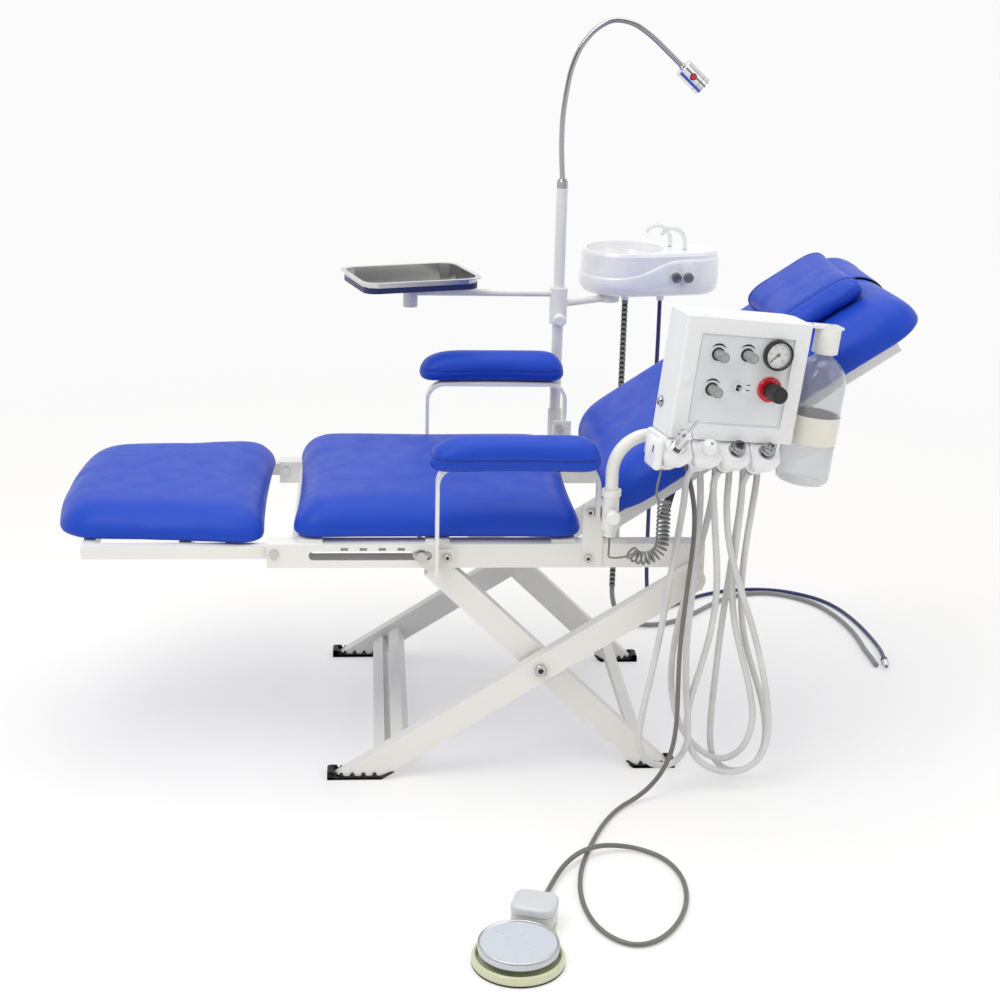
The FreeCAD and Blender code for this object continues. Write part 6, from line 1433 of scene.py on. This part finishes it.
class CHAIR_OT_basin(Step, bpy.types.Operator):
    """Sweeping belt round the spittoon's wall, its drain grid and valve grips, and the tray's band"""

    bl_idname = "chair.basin"
    bl_label = "Spittoon"

    def build(self, form):
        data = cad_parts["spittoon_basin"].data
        wall = BVHTree.FromPolygons(
            [vertex.co for vertex in data.vertices], [polygon.vertices for polygon in data.polygons]
        )
        low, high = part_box("spittoon_basin")
        rings = []
        foot = 0.705
        for index in range(120):
            angle = 2 * math.pi * index / 120
            way = Vector((math.cos(angle), math.sin(angle), 0.0))
            share = min(max((way.x + 0.75) / 1.5, 0.0), 1.0)
            rise = 0.739 + 0.035 * share * share * (3 - 2 * share)
            half = (rise + foot) / 2
            belt = [(rise + 0.004, -0.0006), (rise + 0.0028, 0.0008), (rise + 0.0004, 0.0022)]
            belt += [(rise - 0.0035, 0.0028), (half, 0.0027), (foot + 0.016, 0.0024)]
            belt += [(foot + 0.008, 0.001), (foot + 0.0045, -0.0008), (half, -0.0008)]
            ring = []
            for height, proud in belt:
                start = Vector((0.362, (low.y + high.y) / 2, height)) + way * 0.4
                spot = wall.ray_cast(start, -way)[0] or Vector((spot.x, spot.y, height))
                ring.append(spot + way * proud)
            rings.append(ring)
        mesh = bmesh.new()
        skinned(mesh, rings, Matrix(), 0, True)
        piece("basin_belt", mesh, "spittoon", "basin_white", "gloss_moulding")
        mesh = bmesh.new()
        drain = Matrix.Translation((0.31465, 0.64075, 0.7169))
        grid = mm((0, 1), (9.5, 0.9), (11.2, 0.2), (11.2, -0.4), (0, -0.4))
        lathe(mesh, grid, drain, 0, 32)
        # Painted shade: small black discs stand for the grid's holes.
        for index in range(6):
            turn = Matrix.Rotation(math.pi / 3 * index, 4, "Z")
            spot = drain @ turn @ Matrix.Translation((0.006, 0, 0.001))
            lathe(mesh, mm((0, 0.15), (1.4, 0.15), (1.4, -0.2)), spot, 1, 14)
        piece("drain_grid", mesh, "spittoon", "chrome_parts", "bright_chrome", "ink_and_hole_shade")
        for node, body in (("cup_valve", "cup_tap"), ("bowl_valve", "bowl_tap")):
            low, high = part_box(node)
            mesh = bmesh.new()
            place = along(((low.x + high.x) / 2, low.y, (low.z + high.z) / 2), (0, -1, 0))
            grips(mesh, 18, 0.0088, -0.0118, -0.0012, 0.0013, place)
            end = mm((5.2, -0.2), (6, 0.6), (7.6, 0.5), (8.4, -0.2))
            hoop(mesh, end, place, 0, 28)
            piece(node + "_grip", mesh, body, "chrome_parts", "tap_metal")
        mesh = bmesh.new()
        band = mm((0, -1.4), (0, 9.2), (1, 9.2), (1, -1.4))
        tray = Matrix.Translation((-0.11035, 0.53825, 0.7345)) @ Matrix.Rotation(math.radians(17), 4, "Z")
        skinned(mesh, layered(0.1133, 0.0833, 0.0243, band), tray, 0, True)
        piece("tray_band", mesh, "tray", "holder_blue", "holder_coat")


class CHAIR_OT_bolts(Step, bpy.types.Operator):
    """Hexagon sockets as dark discs of painted shade, rolled edges on the bolt heads, and grey sheets of
    painted shade behind the rails' notches
    """

    bl_idname = "chair.bolts"
    bl_label = "Bolt heads"

    def build(self, form):
        for node, body in (("frame_bolts", "seat_frame"), ("pivot_bolts", "outer_leg_pair")):
            mesh = bmesh.new()
            for low, high in self.boxes(node):
                middle = (low + high) / 2
                near = middle.y < CHAIR_MIDDLE
                tip = low.y if near else high.y
                place = along((middle.x, tip, middle.z), (0, -1 if near else 1, 0))
                radius = min(high.x - low.x, high.z - low.z) / 2
                edge = [(0.78, -0.02), (0.82, 0.06), (0.9, 0.07), (0.97, 0.0), (0.97, -0.06)]
                hoop(mesh, [(radius * r, radius * h) for r, h in edge], place, 0, 32)
                # Painted shade: a flat black hexagon stands for the socket's shaded hole.
                lathe(mesh, [(0.0, 0.00012), (radius * 0.46, 0.00012), (radius * 0.48, -0.0002)], place, 1, 6)
            piece(node + "_sockets", mesh, body, "zinc", "zinc_plate", "ink_and_hole_shade")
        mesh = bmesh.new()
        # Painted shade: thin grey sheets behind the rails' notches stand for the shade seen through them.
        for side in (-1, 1):
            wall = Matrix.Translation((-0.183, CHAIR_MIDDLE + side * 0.2484, 0.4066))
            slab(mesh, (0.116, 0.0008, 0.0082), wall, 0.0001)
        piece("notch_shade_sheets", mesh, "seat_frame", "frame_white", "painted_shade_grey")

    def boxes(self, node):
        mesh = bmesh.new()
        mesh.from_mesh(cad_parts[node].data)
        bmesh.ops.remove_doubles(mesh, verts=mesh.verts, dist=2e-5)
        found = [spread(shell, Matrix.Identity(3)) for shell in islands(mesh)]
        mesh.free()
        return found


class CHAIR_OT_feet(Step, bpy.types.Operator):
    """Rubber feet with a toothed edge up each side of the leg"""

    bl_idname = "chair.feet"
    bl_label = "Rubber feet"

    def build(self, form):
        pairs = (
            ("outer_feet", "outer_leg_pair", (-0.2608, 1), 0.1148, 0.022, (-0.0918, 0.4412)),
            ("inner_feet", "inner_leg_pair", (0.3427, -1), 0.0866, 0.0145, (-0.0592, 0.4088)),
        )
        for node, body, toe, long, slant, sides in pairs:
            mesh = bmesh.new()
            for y in sides:
                self.foot(mesh, toe, long, slant, y)
            made = piece(node + "_rubber", mesh, body, "black_rubber", "black_rubber")
            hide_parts(node)

    def foot(self, mesh, toe, long, slant, near):
        start, way = toe
        sole = long - slant
        teeth = [(0.0, 0.0), (sole, 0.0), (long, 0.014), (long - 0.005, 0.014), (sole - 0.003, 0.006)]
        for index in range(4):
            middle = sole - 0.012 - (sole - 0.036) * index / 3
            tooth = mm((4.5, 6), (1.5, 12.6), (-1.5, 12.6), (-5, 6))
            teeth += [(middle + x, z) for x, z in tooth]
        teeth += mm((19.5, 6), (16.5, 14), (3.5, 14), (0, 11.5))
        tread = [(0.0, 0.0), (sole, 0.0), (sole + 0.0078, 0.005), (0.0, 0.005)]
        cap = mm((0, 0), (14, 0), (13, 7.5), (9, 14), (3.5, 14), (0, 11.5))
        spans = ((teeth, 0.0, 0.003), (teeth, 0.028, 0.031), (tread, 0.0, 0.031), (cap, 0.0, 0.031))
        for outline, low, high in spans:
            spot = Matrix.Translation((start, near + high, 0.0)) @ Matrix.Rotation(math.radians(90), 4, "X")
            flat(mesh, [(x * way, z) for x, z in outline], spot, high - low)


class CHAIR_OT_stage(Step, bpy.types.Operator):
    """Pale floor, soft lights and the camera"""

    bl_idname = "chair.stage"
    bl_label = "Stage"

    def build(self, form):
        self.camera()
        self.lights()
        self.backdrop()
        self.floor()

    def camera(self):
        data = bpy.data.cameras.new("photo_camera")
        data.sensor_width = 36.0
        data.lens = 64.66
        data.clip_end = 200.0
        yaw, pitch, roll = (math.radians(angle) for angle in (4.42, 18.03, 1.39))
        ahead = Vector((math.sin(yaw) * math.cos(pitch), math.cos(yaw) * math.cos(pitch), -math.sin(pitch)))
        right = Vector((math.cos(yaw), -math.sin(yaw), 0.0))
        up = right.cross(ahead)
        tipped_right = right * math.cos(roll) + up * math.sin(roll)
        tipped_up = up * math.cos(roll) - right * math.sin(roll)
        turn = Matrix((tipped_right, tipped_up, -ahead)).transposed().to_4x4()
        camera = shown("photo_camera", data)
        camera.matrix_world = Matrix.Translation((-0.19135, -2.86575, 1.408)) @ turn
        bpy.context.scene.camera = camera

    def lights(self):
        lamps = (
            ("key_light", (-1.6, -1.6, 3.4), 2.4, 50.0),
            ("fill_light", (2.6, -1.7, 2.2), 2.2, 12.0),
            ("top_light", (0.2, 0.5, 3.6), 3.4, 44.0),
        )
        for name, place, wide, power in lamps:
            data = bpy.data.lights.new(name, "AREA")
            data.shape = "DISK"
            data.size = wide
            data.energy = power
            aim = Vector((0.0, 0.0, 0.45)) - Vector(place)
            turn = aim.to_track_quat("-Z", "Y").to_matrix().to_4x4()
            shown(name, data).matrix_world = Matrix.Translation(place) @ turn

    def backdrop(self):
        """Soft light all round, and a white wall to the eye that darkens behind the camera."""
        world = bpy.data.worlds.new("studio")
        bpy.context.scene.world = world
        world.use_nodes = True
        room = Tree(world.node_tree)
        seen = room.rays("Is Camera Ray", "Is Transmission Ray", "Is Glossy Ray")
        soft = room.node("ShaderNodeBackground", {}, (1.0, 0.99, 0.975), 0.7)
        way = room.node("ShaderNodeTexCoord", {}, out="Generated")
        deep = room.span(room.node("ShaderNodeSeparateXYZ", {}, way, out=1), -1.0, 1.0, 0.0, 1.0)
        greys = ((0.0, 0.2), (0.16, 0.16), (0.34, 0.5), (0.5, 0.97))
        wall = room.ramp(deep, [(place, (grey, grey, grey)) for place, grey in greys])
        white = room.node("ShaderNodeBackground", {}, wall)
        room.show(room.node("ShaderNodeMixShader", {}, seen, soft, white), "ShaderNodeOutputWorld")

    def floor(self):
        mesh = bmesh.new()
        bmesh.ops.create_circle(mesh, cap_ends=True, segments=96, radius=60.0)
        data = bpy.data.meshes.new("studio_floor")
        mesh.to_mesh(data)
        mesh.free()
        floor = shown("studio_floor", data)
        floor.location.z = -0.0006
        bench = Bench("studio_floor", roughness=0.75, specular_ior_level=0.2, base_color=(0.955, 0.945, 0.93))
        far = bench.node("ShaderNodeVectorMath", {"operation": "LENGTH"}, bench.coords(), out="Value")
        smooth = {"interpolation_type": "SMOOTHSTEP"}
        fade = bench.node("ShaderNodeMapRange", smooth, far, 0.8, 3.6, 0.42, 1.0)
        lit = Wire(bench, bench.shader.outputs[0])
        glow = bench.node("ShaderNodeEmission", {}, (0.965, 0.965, 0.968))
        share = fade * bench.rays("Is Camera Ray", "Is Glossy Ray")
        bench.feed(bench.output.inputs[0], bench.node("ShaderNodeMixShader", {}, share, lit, glow))
        data.materials.append(bench.material)


NODE_FINISHES = {
    "rail_coat": "side_rails",
    "zinc_plate": "hinge_pins frame_bolts pivot_bolts slot_rod",
    "frame_coat": (
        "armrest_straps unit_bracket pole_bracket lamp_pole outer_legs inner_legs legrest_frame "
        "backrest_frame unit_arm tray_arm spittoon_arm"
    ),
    "black_rubber": "outer_feet inner_feet",
    "black_coat": "recline_props",
    "case_coat": "unit_case",
    "panel_coat": "control_panel",
    "black_plastic": "pressure_gauge regulator_knob syringe_air_button syringe_water_button",
    "red_plastic": "regulator_ring lamp_button",
    "gloss_moulding": "handpiece_holders spittoon_basin",
    "bright_chrome": "hose_couplings syringe toggle_lever lamp_head",
    "white_plastic": "bottle_bracket arm_clamp_knob collar_knob",
    "bottle_clear": "water_bottle",
    "cream_ring": "pedal_base",
    "grey_plastic": "flow_knob_upper_left flow_knob_upper_right flow_knob_lower_left",
    "ink_and_hole_shade": "gauge_needle",
    "disc_coat": "pedal_disc",
    "lamp_metal": "lamp_gooseneck",
    "holder_coat": "tray_holder",
    "brushed_steel": "instrument_tray",
    "spout_clear": "water_spouts",
    "tap_metal": "cup_valve bowl_valve",
}


class CHAIR_OT_finishes(Step, bpy.types.Operator):
    """Finishes of the pieces that come with the frame"""

    bl_idname = "chair.finishes"
    bl_label = "Finishes"

    def build(self, form):
        make_finishes(bpy.context.scene.chair_finish)
        for name, nodes in NODE_FINISHES.items():
            for node in nodes.split():
                dress(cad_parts[node], name)


OPERATORS = (
    CHAIR_OT_finishes,
    CHAIR_OT_stage,
    CHAIR_OT_hoses,
    CHAIR_OT_foot_hose,
    CHAIR_OT_syringe_lead,
    CHAIR_OT_drain,
    CHAIR_OT_supply,
    CHAIR_OT_cushions,
    CHAIR_OT_pads,
    CHAIR_OT_pillow,
    CHAIR_OT_panel,
    CHAIR_OT_holders,
    CHAIR_OT_bottle,
    CHAIR_OT_pedal,
    CHAIR_OT_lamp,
    CHAIR_OT_basin,
    CHAIR_OT_bolts,
    CHAIR_OT_feet,
)


class CHAIR_PT_build(bpy.types.Panel):
    """Lists the steps that dress the chair"""

    bl_idname = "CHAIR_PT_build"
    bl_label = "Dental chair"
    bl_space_type = "VIEW_3D"
    bl_region_type = "UI"
    bl_category = "Dental Chair"

    def draw(self, context):
        for group in (context.scene.chair_finish, context.scene.chair_form):
            for key in group.bl_rna.properties.keys():
                if key not in ("rna_type", "name"):
                    self.layout.prop(group, key)
        for operator in OPERATORS:
            self.layout.operator(operator.bl_idname)


CLASSES = (ChairFinish, ChairForm, *OPERATORS, CHAIR_PT_build)


def register():
    for item in CLASSES:
        bpy.utils.register_class(item)
    bpy.types.Scene.chair_finish = bpy.props.PointerProperty(type=ChairFinish)
    bpy.types.Scene.chair_form = bpy.props.PointerProperty(type=ChairForm)


def unregister():
    del bpy.types.Scene.chair_form
    del bpy.types.Scene.chair_finish
    for item in reversed(CLASSES):
        bpy.utils.unregister_class(item)


def main():
    register()
    bpy.context.scene.view_settings.view_transform = "Standard"
    for operator in OPERATORS:
        group, name = operator.bl_idname.split(".")
        getattr(getattr(bpy.ops, group), name)()
    bpy.context.view_layer.update()


if __name__ == "__main__":
    main()
